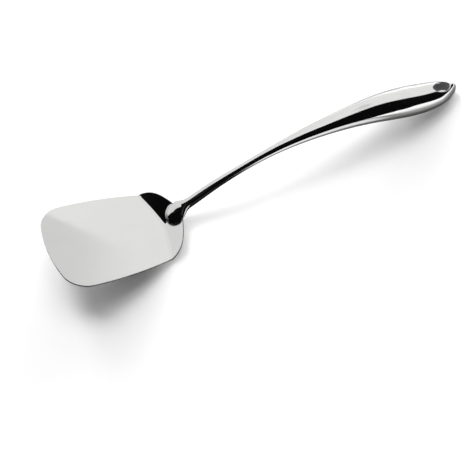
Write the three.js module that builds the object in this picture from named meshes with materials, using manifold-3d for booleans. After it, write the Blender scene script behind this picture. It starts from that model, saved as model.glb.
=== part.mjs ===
// A turner for frying and serving, at its real size in millimetres: a pressed steel blade, a solid neck
// and a hollow handle made of two pressed shells, all welded together and polished.
// It lies face up on a table at z = 0. +X runs from the front of the blade to the end of the handle, and
// the turner is the same on both sides of the XZ plane. Places along X are measured from the bend of the
// heel, and the finished group is moved once, so that the origin lies under the middle of its box.
import * as THREE from "three";
import { mergeVertices } from "three/addons/utils/BufferGeometryUtils.js";
import Module from "manifold-3d";

const wasm = await Module();
wasm.setup();

// Blade: a flat sheet that widens towards its front, tilted up from the bend of the heel
const bladeLength = 93.2;
const bladeFrontWidth = 81.6;
const bladeHeelWidth = 67.6;
const bladeSideBow = 3.3;
const bladeFrontBow = 7.3;
const bladeCornerCut = 13.7;
const bladeCornerHandleShare = 0.57;
const bladeTilt = THREE.MathUtils.degToRad(17.9);
const sheetThickness = 1.2;

// Heel: the rear of the sheet, turned up along a curved bend to a rim that narrows to the neck
const heelReach = 17.6;
const heelRise = THREE.MathUtils.degToRad(24.5);
const heelBendBow = 7.1;
const heelBendBowPower = 1.5;
const heelBendRadius = 4;
const heelRimMiddleReachShare = 0.635;
const heelRimMiddleWidthShare = 0.38;
const heelRimCornerReachShare = 0.5;
const heelRimCornerWidthShare = 0.918;

// Grip: the outer form of neck and handle, from the foot on the heel to the end of the handle
const handleSpan = 254.6;
const archHeight = 27.6;
const gripWidth = 28.3;
const gripDepth = 15.8;
const gripSectionPower = 2.3;
const endRounding = 18;
const endDepthRounding = 3.3;

// One row for each station of the grip: its place along the span, the height of its centre, its width
// and its depth, as shares of the four sizes above
const gripStationShares = [
  [0.107, 0.468, 0.264, 0.423],
  [0.162, 0.62, 0.262, 0.376],
  [0.27, 0.832, 0.224, 0.321],
  [0.38, 0.968, 0.262, 0.375],
  [0.49, 1, 0.391, 0.526],
  [0.6, 0.929, 0.56, 0.729],
  [0.71, 0.775, 0.798, 0.937],
  [0.82, 0.493, 0.997, 0.984],
  [0.92, 0.252, 0.874, 0.79],
  [1, 0.163, 0.485, 0.572],
];

// Foot: the flattened front end of the neck, which lies on the heel and spreads wider than the rod
const footWidth = 17.6;
const footNose = 4.6;
const footNoseRounding = 6.5;
const footFlareLength = 5.4;
const footFlareStart = 14.5;
const footBelly = 0.8;
const footCrownShare = 0.4;
const footCrownLength = 20;
const footRootLength = 8;
const noseWidthShare = 0.33;
const noseDepthShare = 0.456;

// Joints: the neck's plug in the handle, the walls of the shells and the welds that hold it all
const neckEnd = 108;
const plugLength = 16;
const shellWall = 1;
const jointGap = 0.3;
const neckWeldLength = 1.6;
const seamWeldHeight = 1;
const footWeldRadius = 0.6;

// Hanging eye: an oval sleeve through both shells, near the end of the handle, with rounded lips
const eyeSetback = 12.8;
const eyeLength = 13.6;
const eyeWidth = 9.6;
const eyeWall = 1.2;
const eyeLip = 0.9;
const eyeWeldWidth = 1;

// Numbers of steps: more give finer facets and no other size
const frontSteps = 16;
const cornerSteps = 8;
const bladeRows = 6;
const bendRows = 5;
const flangeRows = 4;
const footRings = 12;
const rodRings = 16;
const shellRings = 27;
const endRings = 8;
const sectionSteps = 24;
const eyeSteps = 48;
const lipSteps = 4;

const bentSteel = new THREE.MeshStandardMaterial({ color: 0xd9dad9, roughness: 0.16, metalness: 1 });
const polishedSteel = new THREE.MeshStandardMaterial({ color: 0xdcdddc, roughness: 0.07, metalness: 1 });
const weldedSteel = new THREE.MeshStandardMaterial({ color: 0xc8c7c3, roughness: 0.28, metalness: 1 });

// A smooth curve through points (xs, ys), a natural cubic spline, as a function of x.
function smoothThrough(xs, ys) {
  const last = xs.length - 1;
  const bends = new Array(last + 1).fill(0);
  const pivots = new Array(last + 1).fill(0);
  const steps = xs.slice(1).map((x, i) => x - xs[i]);
  const slopes = steps.map((step, i) => (ys[i + 1] - ys[i]) / step);
  for (let i = 1; i < last; i++) {
    const pivot = 2 * (steps[i - 1] + steps[i]) - steps[i - 1] * pivots[i - 1];
    pivots[i] = steps[i] / pivot;
    bends[i] = (6 * (slopes[i] - slopes[i - 1]) - steps[i - 1] * bends[i - 1]) / pivot;
  }
  for (let i = last - 1; i > 0; i--) {
    bends[i] -= pivots[i] * bends[i + 1];
  }
  return (x) => {
    let i = 0;
    while (i < last - 1 && x > xs[i + 1]) {
      i++;
    }
    const before = x - xs[i];
    const after = xs[i + 1] - x;
    const cubic = (bends[i] * after ** 3 + bends[i + 1] * before ** 3) / (6 * steps[i]);
    const rise = (ys[i + 1] / steps[i] - (bends[i + 1] * steps[i]) / 6) * before;
    return cubic + rise + (ys[i] / steps[i] - (bends[i] * steps[i]) / 6) * after;
  };
}

// The quarter of an oval that rounds an end: 0 at the end itself, 1 from the given length inwards.
function rounding(fromEnd, length) {
  const share = THREE.MathUtils.clamp(fromEnd / length, 0, 1);
  return Math.sqrt(1 - (1 - share) ** 2);
}

// A closed solid from rows of points and triangles that name them, with its faces pointing out.
function closedGeometry(points, triangles) {
  const geometry = new THREE.BufferGeometry().setFromPoints(points);
  geometry.setIndex(triangles.flat());
  const merged = mergeVertices(geometry, 1e-4);
  const places = merged.getAttribute("position");
  const corners = merged.index.array;
  const kept = [];
  let volume = 0;
  for (let i = 0; i < corners.length; i += 3) {
    const [a, b, c] = [corners[i], corners[i + 1], corners[i + 2]];
    if (a === b || b === c || c === a) {
      continue;
    }
    kept.push([a, b, c]);
    const [p, q, r] = [a, b, c].map((k) => new THREE.Vector3().fromBufferAttribute(places, k));
    volume += p.dot(q.cross(r));
  }
  merged.setIndex((volume < 0 ? kept.map(([a, b, c]) => [a, c, b]) : kept).flat());
  return merged;
}

// Two triangles between two rows, from place j to place k.
function quad(low, high, j, k) {
  return [
    [low + j, high + j, high + k],
    [low + j, high + k, low + k],
  ];
}

// A wall between two faces of the same grid of points. Rows that close on themselves leave out the two
// side edges.
function wallBetween(outer, inner, rowsClose = false) {
  const rows = outer.length;
  const columns = outer[0].length;
  const points = [...outer.flat(), ...inner.flat()];
  const innerStart = rows * columns;
  const triangles = [];
  const steps = rowsClose ? columns : columns - 1;
  for (let i = 0; i < rows - 1; i++) {
    for (let j = 0; j < steps; j++) {
      const k = (j + 1) % columns;
      const low = i * columns;
      triangles.push(...quad(low, low + columns, j, k));
      triangles.push(...quad(innerStart + low + columns, innerStart + low, j, k));
    }
    if (!rowsClose) {
      const here = i * columns;
      const next = here + columns;
      const side = columns - 1;
      triangles.push([here, innerStart + here, innerStart + next], [here, innerStart + next, next]);
      triangles.push([here + side, innerStart + next + side, innerStart + here + side]);
      triangles.push([here + side, next + side, innerStart + next + side]);
    }
  }
  for (let j = 0; j < steps; j++) {
    const k = (j + 1) % columns;
    const end = (rows - 1) * columns;
    triangles.push(...quad(innerStart, 0, j, k));
    triangles.push(...quad(end, innerStart + end, j, k));
  }
  return closedGeometry(points, triangles);
}

// A solid through closed rings, which fan to the middle of the first and the last ring.
function solidThrough(rings) {
  const columns = rings[0].length;
  const points = rings.flat();
  const triangles = [];
  for (let i = 0; i < rings.length - 1; i++) {
    for (let j = 0; j < columns; j++) {
      triangles.push(...quad(i * columns, (i + 1) * columns, j, (j + 1) % columns));
    }
  }
  const middles = [rings[0], rings.at(-1)].map((ring) => {
    return ring.reduce((sum, p) => sum.add(p), new THREE.Vector3()).divideScalar(columns);
  });
  points.push(...middles);
  const last = (rings.length - 1) * columns;
  for (let j = 0; j < columns; j++) {
    const k = (j + 1) % columns;
    triangles.push([rings.length * columns, j, k]);
    triangles.push([rings.length * columns + 1, last + k, last + j]);
  }
  return closedGeometry(points, triangles);
}

// A ring from closed loops of points, one after the other round it.
function ringThrough(loops) {
  const columns = loops[0].length;
  const triangles = loops.flatMap((loop, i) => {
    const next = ((i + 1) % loops.length) * columns;
    return loop.flatMap((point, j) => quad(i * columns, next, j, (j + 1) % columns));
  });
  return closedGeometry(loops.flat(), triangles);
}

// Cutting and joining of closed solids
function toSolid(geometry) {
  const bare = geometry.clone();
  bare.deleteAttribute("normal");
  bare.deleteAttribute("uv");
  const merged = mergeVertices(bare, 1e-4);
  return new wasm.Manifold(
    new wasm.Mesh({
      numProp: 3,
      vertProperties: new Float32Array(merged.attributes.position.array),
      triVerts: new Uint32Array(merged.index.array),
    }),
  );
}

function toGeometry(solid) {
  const mesh = solid.getMesh();
  const geometry = new THREE.BufferGeometry();
  geometry.setAttribute("position", new THREE.BufferAttribute(mesh.vertProperties, 3));
  geometry.setIndex(new THREE.BufferAttribute(mesh.triVerts, 1));
  return geometry;
}

// Blade and heel

// The bend's sharp corner stands this high, so that the rounded underside touches the table.
const bendTurn = bladeTilt + heelRise;
const bendLift = (Math.cos(bladeTilt) + Math.cos(heelRise)) / (1 + Math.cos(bendTurn)) - 1;
const bendHeight = sheetThickness - heelBendRadius * bendLift;
const sideLength = bladeLength - bladeFrontBow;

// Half the blade's width at a length forward of the bend, measured in the blade's plane.
function bladeHalfWidth(forward) {
  const share = forward / sideLength;
  const straight = THREE.MathUtils.lerp(bladeHeelWidth, bladeFrontWidth, share) / 2;
  return straight + bladeSideBow * 4 * share * (1 - share);
}

// A point of the blade's upper face, from its length forward of the bend and its place across.
function onBlade(forward, across) {
  return new THREE.Vector3(
    -forward * Math.cos(bladeTilt),
    across,
    bendHeight + forward * Math.sin(bladeTilt),
  );
}

// The front edge from the middle, at 0, round the corner to the side, at 1: (forward, across).
function frontEdge(share) {
  const halfFront = bladeFrontWidth / 2;
  const arcEnd = halfFront - bladeCornerCut;
  const arcShare = frontSteps / (frontSteps + 2 * cornerSteps);
  const arc = (across) => new THREE.Vector2(bladeLength - bladeFrontBow * (across / halfFront) ** 2, across);
  if (share <= arcShare) {
    return arc((arcEnd * share) / arcShare);
  }
  const corner = new THREE.Vector2(sideLength, halfFront);
  const start = arc(arcEnd);
  const sideStart = sideLength - bladeCornerCut;
  const end = new THREE.Vector2(sideStart, bladeHalfWidth(sideStart));
  const turn = new THREE.CubicBezierCurve(
    start,
    start.clone().lerp(corner, bladeCornerHandleShare),
    end.clone().lerp(corner, bladeCornerHandleShare),
    end,
  );
  return turn.getPoint((share - arcShare) / (1 - arcShare));
}

// The bend line and the rim of the heel, from the middle to the side: where the sheet turns and ends.
function bendPoint(share) {
  const forward = heelBendBow * share ** heelBendBowPower;
  return onBlade(forward, share * bladeHalfWidth(heelBendBow));
}

const rimSide = bendPoint(1);
const rimCurve = new THREE.CubicBezierCurve(
  new THREE.Vector2(heelReach, 0),
  new THREE.Vector2(heelReach * heelRimMiddleReachShare, rimSide.y * heelRimMiddleWidthShare),
  new THREE.Vector2(heelReach * heelRimCornerReachShare, rimSide.y * heelRimCornerWidthShare),
  new THREE.Vector2(rimSide.x, rimSide.y),
);

function rimPoint(share) {
  const plan = rimCurve.getPoint(share);
  const bend = bendPoint(share);
  return new THREE.Vector3(plan.x, plan.y, bend.z + (plan.x - bend.x) * Math.tan(heelRise));
}

// The height of the flange's upper face under a point of the foot.
function flangeTop(x, y) {
  const bend = bendPoint(Math.abs(y) / bladeHalfWidth(heelBendBow));
  return bend.z + (x - bend.x) * Math.tan(heelRise);
}

// One line of the sheet, from the front edge over the bend to the rim: its upper and lower points.
function sheetLine(across) {
  const share = Math.abs(across);
  const side = Math.sign(across);
  const front = frontEdge(share);
  const bend = bendPoint(share);
  const rim = rimPoint(share);
  const edge = onBlade(front.x, front.y);
  const sideStart = sideLength - bladeCornerCut;
  const bendLength = heelBendRadius * Math.tan(bendTurn / 2);
  const bendShare = Math.min(bendLength / Math.max(rim.x - bend.x, bendLength), 1 / 2);
  const upper = [];
  const normals = [];
  const put = (point, lean) => {
    upper.push(new THREE.Vector3(point.x, point.y * side, point.z));
    normals.push(new THREE.Vector3(-Math.sin(lean), 0, Math.cos(lean)));
  };
  const bendStart = bend.clone().lerp(edge, bendLength / edge.distanceTo(bend));
  const bendEnd = bend.clone().lerp(rim, bendShare);
  for (let i = 0; i < bladeRows; i++) {
    const along = i / bladeRows;
    const point = edge.clone().lerp(bendStart, along);
    const forward = THREE.MathUtils.lerp(sideStart, heelBendBow, along);
    const chord = THREE.MathUtils.lerp(bladeHalfWidth(sideStart), bladeHalfWidth(heelBendBow), along);
    point.y += share * (bladeHalfWidth(forward) - chord);
    put(point, -bladeTilt);
  }
  const turn = new THREE.QuadraticBezierCurve3(bendStart, bend, bendEnd);
  for (let i = 0; i <= bendRows; i++) {
    put(turn.getPoint(i / bendRows), THREE.MathUtils.lerp(-bladeTilt, heelRise, i / bendRows));
  }
  for (let i = 1; i <= flangeRows; i++) {
    put(bendEnd.clone().lerp(rim, i / flangeRows), heelRise);
  }
  const lower = upper.map((point, i) => point.clone().addScaledVector(normals[i], -sheetThickness));
  return { upper, lower };
}

function makeBlade() {
  const half = frontSteps / 2 + cornerSteps;
  const lines = [];
  for (let j = -half; j <= half; j++) {
    lines.push(sheetLine(j / half));
  }
  return wallBetween(lines.map((line) => line.upper), lines.map((line) => line.lower));
}

// Grip: one outer form for the neck and both shells

const column = (index, size) => gripStationShares.map((row) => row[index] * size);
const footSeat = (x) => flangeTop(x, 0) + (jointGap + footBelly) / Math.cos(heelRise);
const footMiddle = (footNose + heelReach) / 2;
const spineHeight = smoothThrough(
  [footNose, footMiddle, heelReach, ...column(0, handleSpan)],
  [footSeat(footNose), footSeat(footMiddle), footSeat(heelReach), ...column(1, archHeight)],
);
const girthPlaces = [footNose, ...column(0, handleSpan)];
const rodHalfWidth = smoothThrough(girthPlaces, [
  (noseWidthShare * gripWidth) / 2,
  ...column(2, gripWidth / 2),
]);
const rodHalfDepth = smoothThrough(girthPlaces, [
  (noseDepthShare * gripDepth) / 2,
  ...column(3, gripDepth / 2),
]);

// How much of the foot's spread is left at a place along the grip: all of it on the heel, none on the rod.
function footSpread(x) {
  return x < footFlareStart ? 1 : Math.exp(-(((x - footFlareStart) / footFlareLength) ** 2));
}

// The outer form at a place along the grip, and the form of its hollow: half width, height above the
// centre line and depth below it.
function gripForm(x, wall = 0) {
  const end = handleSpan - wall;
  const nose = rounding(x - footNose, footNoseRounding);
  const rodWidth = rodHalfWidth(x) - wall;
  const rodDepth = rodHalfDepth(x) - wall;
  const spread = THREE.MathUtils.lerp(rodWidth, footWidth / 2, footSpread(x));
  const crowned = THREE.MathUtils.smoothstep(x, footNose, footNose + footCrownLength);
  const rooted = THREE.MathUtils.smoothstep(x, heelReach, heelReach + footRootLength);
  const endWidth = rounding(end - x, endRounding - wall);
  const endDepth = rounding(end - x, endDepthRounding - wall);
  return {
    width: spread * nose * endWidth,
    crown: rodDepth * THREE.MathUtils.lerp(footCrownShare, 1, crowned) * nose * endDepth,
    belly: THREE.MathUtils.lerp(footBelly * nose, rodDepth, rooted) * endDepth,
  };
}

// The centre line's point and its upward normal at a place along the grip.
function spineFrame(x) {
  const reach = handleSpan / 1000;
  const slope = (spineHeight(x + reach) - spineHeight(x - reach)) / (2 * reach);
  const up = new THREE.Vector3(-slope, 0, 1).normalize();
  return { centre: new THREE.Vector3(x, 0, spineHeight(x)), up };
}

// A point of a section at an angle from the left side over the top, on a form as above.
function sectionPoint(x, form, angle) {
  const { centre, up } = spineFrame(x);
  const power = 2 / gripSectionPower;
  const across = Math.sign(Math.cos(angle)) * Math.abs(Math.cos(angle)) ** power * form.width;
  const high = Math.sign(Math.sin(angle)) * Math.abs(Math.sin(angle)) ** power;
  const rise = high * (high > 0 ? form.crown : form.belly);
  return centre.clone().addScaledVector(up, rise).add(new THREE.Vector3(0, across, 0));
}

function wholeSection(x, form) {
  const ring = [];
  for (let j = 0; j < sectionSteps; j++) {
    ring.push(sectionPoint(x, form, (2 * Math.PI * j) / sectionSteps));
  }
  return ring;
}

// Places from one end to the other, closer together by a cosine towards the end that is rounded.
function evenPlaces(from, to, steps) {
  return Array.from({ length: steps + 1 }, (_, i) => THREE.MathUtils.lerp(from, to, i / steps));
}

function roundedPlaces(inside, end, steps) {
  const quarter = Math.PI / 2;
  return Array.from({ length: steps }, (_, i) => {
    return inside + (end - inside) * Math.sin((quarter * (i + 1)) / steps);
  });
}

const plugEnd = neckEnd + plugLength;
const mouth = neckEnd + neckWeldLength;

function makeNeck() {
  const noseInside = footNose + footNoseRounding;
  const rodStart = heelReach + footRootLength;
  const places = [
    ...roundedPlaces(noseInside, footNose, footRings / 2).reverse(),
    ...evenPlaces(noseInside, rodStart, footRings),
    ...evenPlaces(rodStart, neckEnd, rodRings).slice(1),
  ];
  const rings = places.map((x) => wholeSection(x, gripForm(x)));
  const plugWall = shellWall + jointGap;
  rings.push(wholeSection(neckEnd, gripForm(neckEnd, plugWall)));
  rings.push(wholeSection(plugEnd, gripForm(neckEnd, plugWall)));
  return solidThrough(rings);
}

// The ring of weld between the neck's shoulder and the mouth of the shells.
function makeNeckWeld() {
  const places = [neckEnd + jointGap, mouth - jointGap];
  const outer = places.map((x) => wholeSection(x, gripForm(x)));
  const inner = places.map((x) => wholeSection(x, gripForm(neckEnd, shellWall)));
  return wallBetween(outer, inner, true);
}

// The places of the shells' sections: outside, and inside one wall short of the end.
function shellPlaces(wall) {
  const end = handleSpan - wall;
  const inside = handleSpan - endRounding;
  return [...evenPlaces(mouth, inside, shellRings), ...roundedPlaces(inside, end, endRings)];
}

// The angle above the side of a section at which its face reaches a height.
function angleAt(height, depth, mostShare) {
  const share = depth > 0 ? Math.min(height / depth, mostShare) : mostShare;
  return Math.asin(share ** (gripSectionPower / 2));
}

// A wall that follows the grip between two heights or over the top of one, as the angles say.
function makeGripWall(anglesFor, steps) {
  const face = (wall) => {
    return shellPlaces(wall).map((x) => {
      const form = gripForm(x, wall);
      const [from, to] = anglesFor(form);
      return evenPlaces(from, to, steps).map((angle) => sectionPoint(x, form, angle));
    });
  };
  return wallBetween(face(0), face(shellWall));
}

const shellEdgeShare = 0.5;
const weldEdgeShare = 0.35;

// One pressed half of the handle: over the top when side is 1, under it when side is -1.
function makeShell(side) {
  return makeGripWall((form) => {
    const depth = side > 0 ? form.crown : form.belly;
    const edge = angleAt(seamWeldHeight / 2 + jointGap, depth, shellEdgeShare);
    return [side * edge, side * (Math.PI - edge)];
  }, sectionSteps / 2);
}

// The weld along one edge of the shells: left when side is 1, right when side is -1.
function makeSeamWeld(side) {
  return makeGripWall((form) => {
    const edge = angleAt(seamWeldHeight / 2, form.crown, weldEdgeShare);
    return side > 0 ? [-edge, edge] : [Math.PI - edge, Math.PI + edge];
  }, 2);
}

// Hanging eye

const eyePlace = handleSpan - eyeSetback;
const eyeFrame = spineFrame(eyePlace);
const eyeAlong = new THREE.Vector3(0, 1, 0).cross(eyeFrame.up);
const weldInside = eyeWall + jointGap;
const weldOutside = weldInside + eyeWeldWidth;

// A point over or under the eye's oval, widened by a margin, at a height along the eye's axis.
function eyePoint(turn, margin, height) {
  const along = Math.cos(turn) * (eyeLength / 2 + margin);
  const across = Math.sin(turn) * (eyeWidth / 2 + margin);
  const point = eyeFrame.centre.clone().addScaledVector(eyeAlong, along);
  return point.addScaledVector(eyeFrame.up, height).add(new THREE.Vector3(0, across, 0));
}

// The height of the grip's face, upper for side 1 and lower for side -1, over a point of that oval:
// the section that passes through the point is found in a few steps along the grip.
function faceHeight(turn, margin, side) {
  const wanted = eyePoint(turn, margin, 0);
  let place = wanted.x;
  let height = 0;
  for (let i = 0; i < lipSteps; i++) {
    const form = gripForm(place);
    const level = 1 - Math.abs(wanted.y / form.width) ** gripSectionPower;
    const rise = side * (side > 0 ? form.crown : form.belly) * level ** (1 / gripSectionPower);
    const { centre, up } = spineFrame(place);
    const found = centre.addScaledVector(up, rise).sub(eyeFrame.centre);
    place += wanted.clone().sub(eyeFrame.centre).dot(eyeAlong) - found.dot(eyeAlong);
    height = found.dot(eyeFrame.up);
  }
  return height;
}

// The ring that a loop of (margin, height) places sweeps round the eye.
function eyeRing(loopAt) {
  const turns = evenPlaces(0, 2 * Math.PI, eyeSteps).slice(1);
  return ringThrough(
    turns.map((turn) => loopAt(turn).map(([margin, height]) => eyePoint(turn, margin, height))),
  );
}

// The sleeve: flush with both faces of the grip, rounded over into the bore at both ends.
function makeEye() {
  return eyeRing((turn) => {
    const lip = (side) => {
      return evenPlaces(0, Math.PI / 2, lipSteps).map((angle) => [
        eyeLip * (1 - Math.sin(angle)),
        faceHeight(turn, eyeLip, side) - side * eyeLip * (1 - Math.cos(angle)),
      ]);
    };
    const rim = (side) => [eyeWall, faceHeight(turn, eyeWall, side)];
    return [rim(1), ...lip(1), ...lip(-1).reverse(), rim(-1)];
  });
}

// The weld round the sleeve in one shell, as thick as the shell.
function makeEyeWeld(side) {
  return eyeRing((turn) => {
    const inside = faceHeight(turn, weldInside, side);
    const outside = faceHeight(turn, weldOutside, side);
    return [
      [weldInside, inside],
      [weldOutside, outside],
      [weldOutside, outside - side * shellWall],
      [weldInside, inside - side * shellWall],
    ];
  });
}

// A shell with the opening for the sleeve and its weld cut out of it.
function pierced(shell) {
  const oval = new THREE.Shape();
  const margin = weldOutside + jointGap;
  oval.absellipse(0, 0, eyeLength / 2 + margin, eyeWidth / 2 + margin, 0, 2 * Math.PI);
  const bar = new THREE.ExtrudeGeometry(oval, {
    depth: 2 * gripDepth,
    bevelEnabled: false,
    curveSegments: eyeSteps / 2,
  });
  bar.translate(0, 0, -gripDepth);
  const across = new THREE.Vector3(0, 1, 0);
  bar.applyMatrix4(new THREE.Matrix4().makeBasis(eyeAlong, across, eyeFrame.up).setPosition(eyeFrame.centre));
  return toGeometry(toSolid(shell).subtract(toSolid(bar)));
}

// Foot weld

// The bead round the foot: up one side of the foot, round its nose and back along the other side.
function makeFootWeld() {
  const inside = footNose + footNoseRounding;
  const places = [
    footNose,
    ...roundedPlaces(inside, footNose, footRings / 2).reverse().slice(1),
    ...evenPlaces(inside, footFlareStart, footRings / 3),
  ];
  const edge = (angle) => places.map((x) => sectionPoint(x, gripForm(x), angle));
  const outline = [...edge(0).reverse(), ...edge(Math.PI).slice(1)];
  const clear = jointGap + footWeldRadius;
  const path = outline.map((point, i) => {
    const before = outline[Math.max(i - 1, 0)];
    const after = outline[Math.min(i + 1, outline.length - 1)];
    const out = new THREE.Vector3(after.y - before.y, before.x - after.x, 0).normalize();
    const shifted = point.clone().addScaledVector(out, clear);
    shifted.z = flangeTop(shifted.x, shifted.y) + clear / Math.cos(heelRise);
    return shifted;
  });
  const bead = new THREE.ExtrudeGeometry(new THREE.Shape().absarc(0, 0, footWeldRadius, 0, 2 * Math.PI), {
    steps: sectionSteps + footRings,
    extrudePath: new THREE.CatmullRomCurve3(path),
    curveSegments: footRings / 2,
  });
  return toGeometry(toSolid(bead));
}

// Assembly
const turner = new THREE.Group();

function add(name, geometry, material) {
  const mesh = new THREE.Mesh(geometry, material);
  mesh.name = name;
  turner.add(mesh);
}

add("blade", makeBlade(), bentSteel);
add("neck", makeNeck(), polishedSteel);
add("foot_weld", makeFootWeld(), weldedSteel);
add("neck_weld", makeNeckWeld(), weldedSteel);
add("handle_upper_shell", pierced(makeShell(1)), polishedSteel);
add("handle_lower_shell", pierced(makeShell(-1)), polishedSteel);
add("seam_weld_left", makeSeamWeld(1), weldedSteel);
add("seam_weld_right", makeSeamWeld(-1), weldedSteel);
add("hanging_eye", makeEye(), polishedSteel);
add("eye_weld_upper", makeEyeWeld(1), weldedSteel);
add("eye_weld_lower", makeEyeWeld(-1), weldedSteel);

const bladeTip = bladeLength * Math.cos(bladeTilt) + sheetThickness * Math.sin(bladeTilt);
turner.position.x = (bladeTip - handleSpan) / 2;

export default turner;
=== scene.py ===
import math

import bpy
import numpy as np
from mathutils import Matrix, Vector


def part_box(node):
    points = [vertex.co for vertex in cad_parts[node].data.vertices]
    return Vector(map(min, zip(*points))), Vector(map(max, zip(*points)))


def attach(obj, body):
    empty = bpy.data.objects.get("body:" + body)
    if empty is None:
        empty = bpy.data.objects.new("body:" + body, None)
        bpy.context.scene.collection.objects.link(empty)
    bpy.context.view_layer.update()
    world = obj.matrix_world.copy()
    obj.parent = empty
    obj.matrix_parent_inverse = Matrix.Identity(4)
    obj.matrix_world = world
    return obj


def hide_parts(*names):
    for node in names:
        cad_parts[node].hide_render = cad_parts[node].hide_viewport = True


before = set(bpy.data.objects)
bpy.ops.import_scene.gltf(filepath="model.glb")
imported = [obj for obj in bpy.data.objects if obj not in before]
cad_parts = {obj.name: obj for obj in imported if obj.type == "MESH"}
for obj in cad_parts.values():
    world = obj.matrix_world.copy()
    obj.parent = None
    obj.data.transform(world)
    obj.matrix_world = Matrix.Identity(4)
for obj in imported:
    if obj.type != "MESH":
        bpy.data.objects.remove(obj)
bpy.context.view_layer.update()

bl_info = {
    "name": "Polished Steel Turner",
    "version": (1, 0, 0),
    "blender": (4, 5, 0),
    "location": "3D View > Sidebar > Turner",
    "description": "Makes a turner of polished steel on a white table, piece by piece",
    "category": "Object",
}

# One row for each station of the grip: its place along the span, the height of its centre, its width
# and its depth, as shares of the span, the arch height, the grip's width and its depth
GRIP_STATIONS = np.array(
    [
        [0.107, 0.468, 0.264, 0.423],
        [0.162, 0.62, 0.262, 0.376],
        [0.27, 0.832, 0.224, 0.321],
        [0.38, 0.968, 0.262, 0.375],
        [0.49, 1.0, 0.391, 0.526],
        [0.6, 0.929, 0.56, 0.729],
        [0.71, 0.775, 0.798, 0.937],
        [0.82, 0.493, 0.997, 0.984],
        [0.92, 0.252, 0.874, 0.79],
        [1.0, 0.163, 0.485, 0.572],
    ]
)

# The upper edge of the white panels that the steel mirrors, over which all is black: the direction round
# the turner from straight behind it, clockwise seen from above, and the height, both in degrees
PANEL_TOPS = [
    *[(-180, -12), (-174, -12), (-165, -2), (-47.4, -2), (-46.8, 34), (-46, 34.5), (-42, 33.5)],
    *[(-39.5, 31.5), (-38, 33), (-36, 42), (-33, 47), (-29, 52), (-23, 56.5), (-15, 60), (0, 66)],
    *[(10, 71), (30, 72), (48, 72), (50, 55), (53, 43), (57, 32), (60, 26), (98, 26), (104, 36)],
    *[(109, 38), (118, 38), (127, 36), (134, 33.5), (145, 31), (154, 24), (160, 19), (166, 11)],
    *[(169, 4), (172, 0), (176, -9), (180, -12)],
]

# The windows that light the table: the direction round the turner and its spread, the height and its
# spread, all in degrees, and the strength
WINDOWS = [(-1.1, 7.1, 11.5, 14.9, 29.4), (56.6, 40.9, 2.4, 3.1, 304.0)]

# The lamps: direction round the turner and height in degrees, energy, and angle across in radians
LAMPS = {"lamp behind": (-9.0, 48.0, 1.337, 0.498), "lamp beside": (50.2, 58.0, 0.724, 0.639)}

# The steel finishes: colour and roughness by the name of their property, what is added to the
# roughness, the depth of the polishing lines and of the slow waves, and how much smudges blur it
STEELS = {
    "Blade steel": ("steel", "blade_roughness", 0.0, 2e-7, 0.0, 0.015),
    "Grip steel": ("steel", "grip_roughness", 0.0, 6e-8, 4e-6, 0.015),
    "Ground weld": ("steel", "grip_roughness", 0.02, 1e-7, 4e-6, 0.03),
    "Weld bead steel": ("weld", "weld_roughness", 0.0, 1e-6, 2e-5, 0.1),
}

SECTION_STEPS = 96  # points round a whole section of neck or handle
SHELL_STEPS = 72  # points round half a section
SEAM_STEPS = 8  # points across the weld between the shells
EYE_STEPS = 160  # points round the hanging eye
SETTLING_ROUNDS = 8  # rounds in which a place on the curved centre line is found


def length_property(name, description, default):
    return bpy.props.FloatProperty(
        name=name, description=description, default=default, min=0.0, unit="LENGTH", precision=5
    )


def share_property(name, description, default):
    return bpy.props.FloatProperty(
        name=name, description=description, default=default, min=0.0, max=1.0, subtype="FACTOR"
    )


def number_property(name, description, default, least=0.0):
    return bpy.props.FloatProperty(name=name, description=description, default=default, min=least)


def angle_property(name, description, default):
    return bpy.props.FloatProperty(
        name=name, description=description, default=math.radians(default), subtype="ANGLE"
    )


def colour_property(name, description, default):
    return bpy.props.FloatVectorProperty(
        name=name, description=description, default=default, size=3, min=0.0, max=1.0, subtype="COLOR"
    )


class TurnerBladeSizes(bpy.types.PropertyGroup):
    length: length_property("Length", "From the bend of the heel to the front edge", 0.0932)
    front_width: length_property("Front width", "Width between the front corners", 0.0816)
    heel_width: length_property("Heel width", "Width at the bend of the heel", 0.0676)
    side_bow: length_property("Side bow", "How far each side bulges", 0.0033)
    front_bow: length_property("Front bow", "How far the front edge bulges", 0.0073)
    corner_cut: length_property("Corner cut", "Length that the front corners' rounding takes", 0.0137)
    corner_handle: share_property("Corner fullness", "How full the corners' rounding is", 0.57)
    tilt: angle_property("Tilt", "How steeply the blade rises towards its front", 17.9)
    thickness: length_property("Thickness", "Thickness of the sheet", 0.0012)
    heel_reach: length_property("Heel reach", "From the bend to the rim of the heel", 0.0176)
    heel_rise: angle_property("Heel rise", "How steeply the heel rises to its rim", 24.5)
    bend_bow: length_property("Bend bow", "How far the bend curves forward at the sides", 0.0071)
    bend_bow_power: number_property("Bend bow power", "How late the bend starts to curve", 1.5, 1.0)
    bend_radius: length_property("Bend radius", "Inner radius of the bend", 0.004)
    edge_rounding: length_property("Edge rounding", "Radius of the broken edges", 0.00032)


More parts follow.
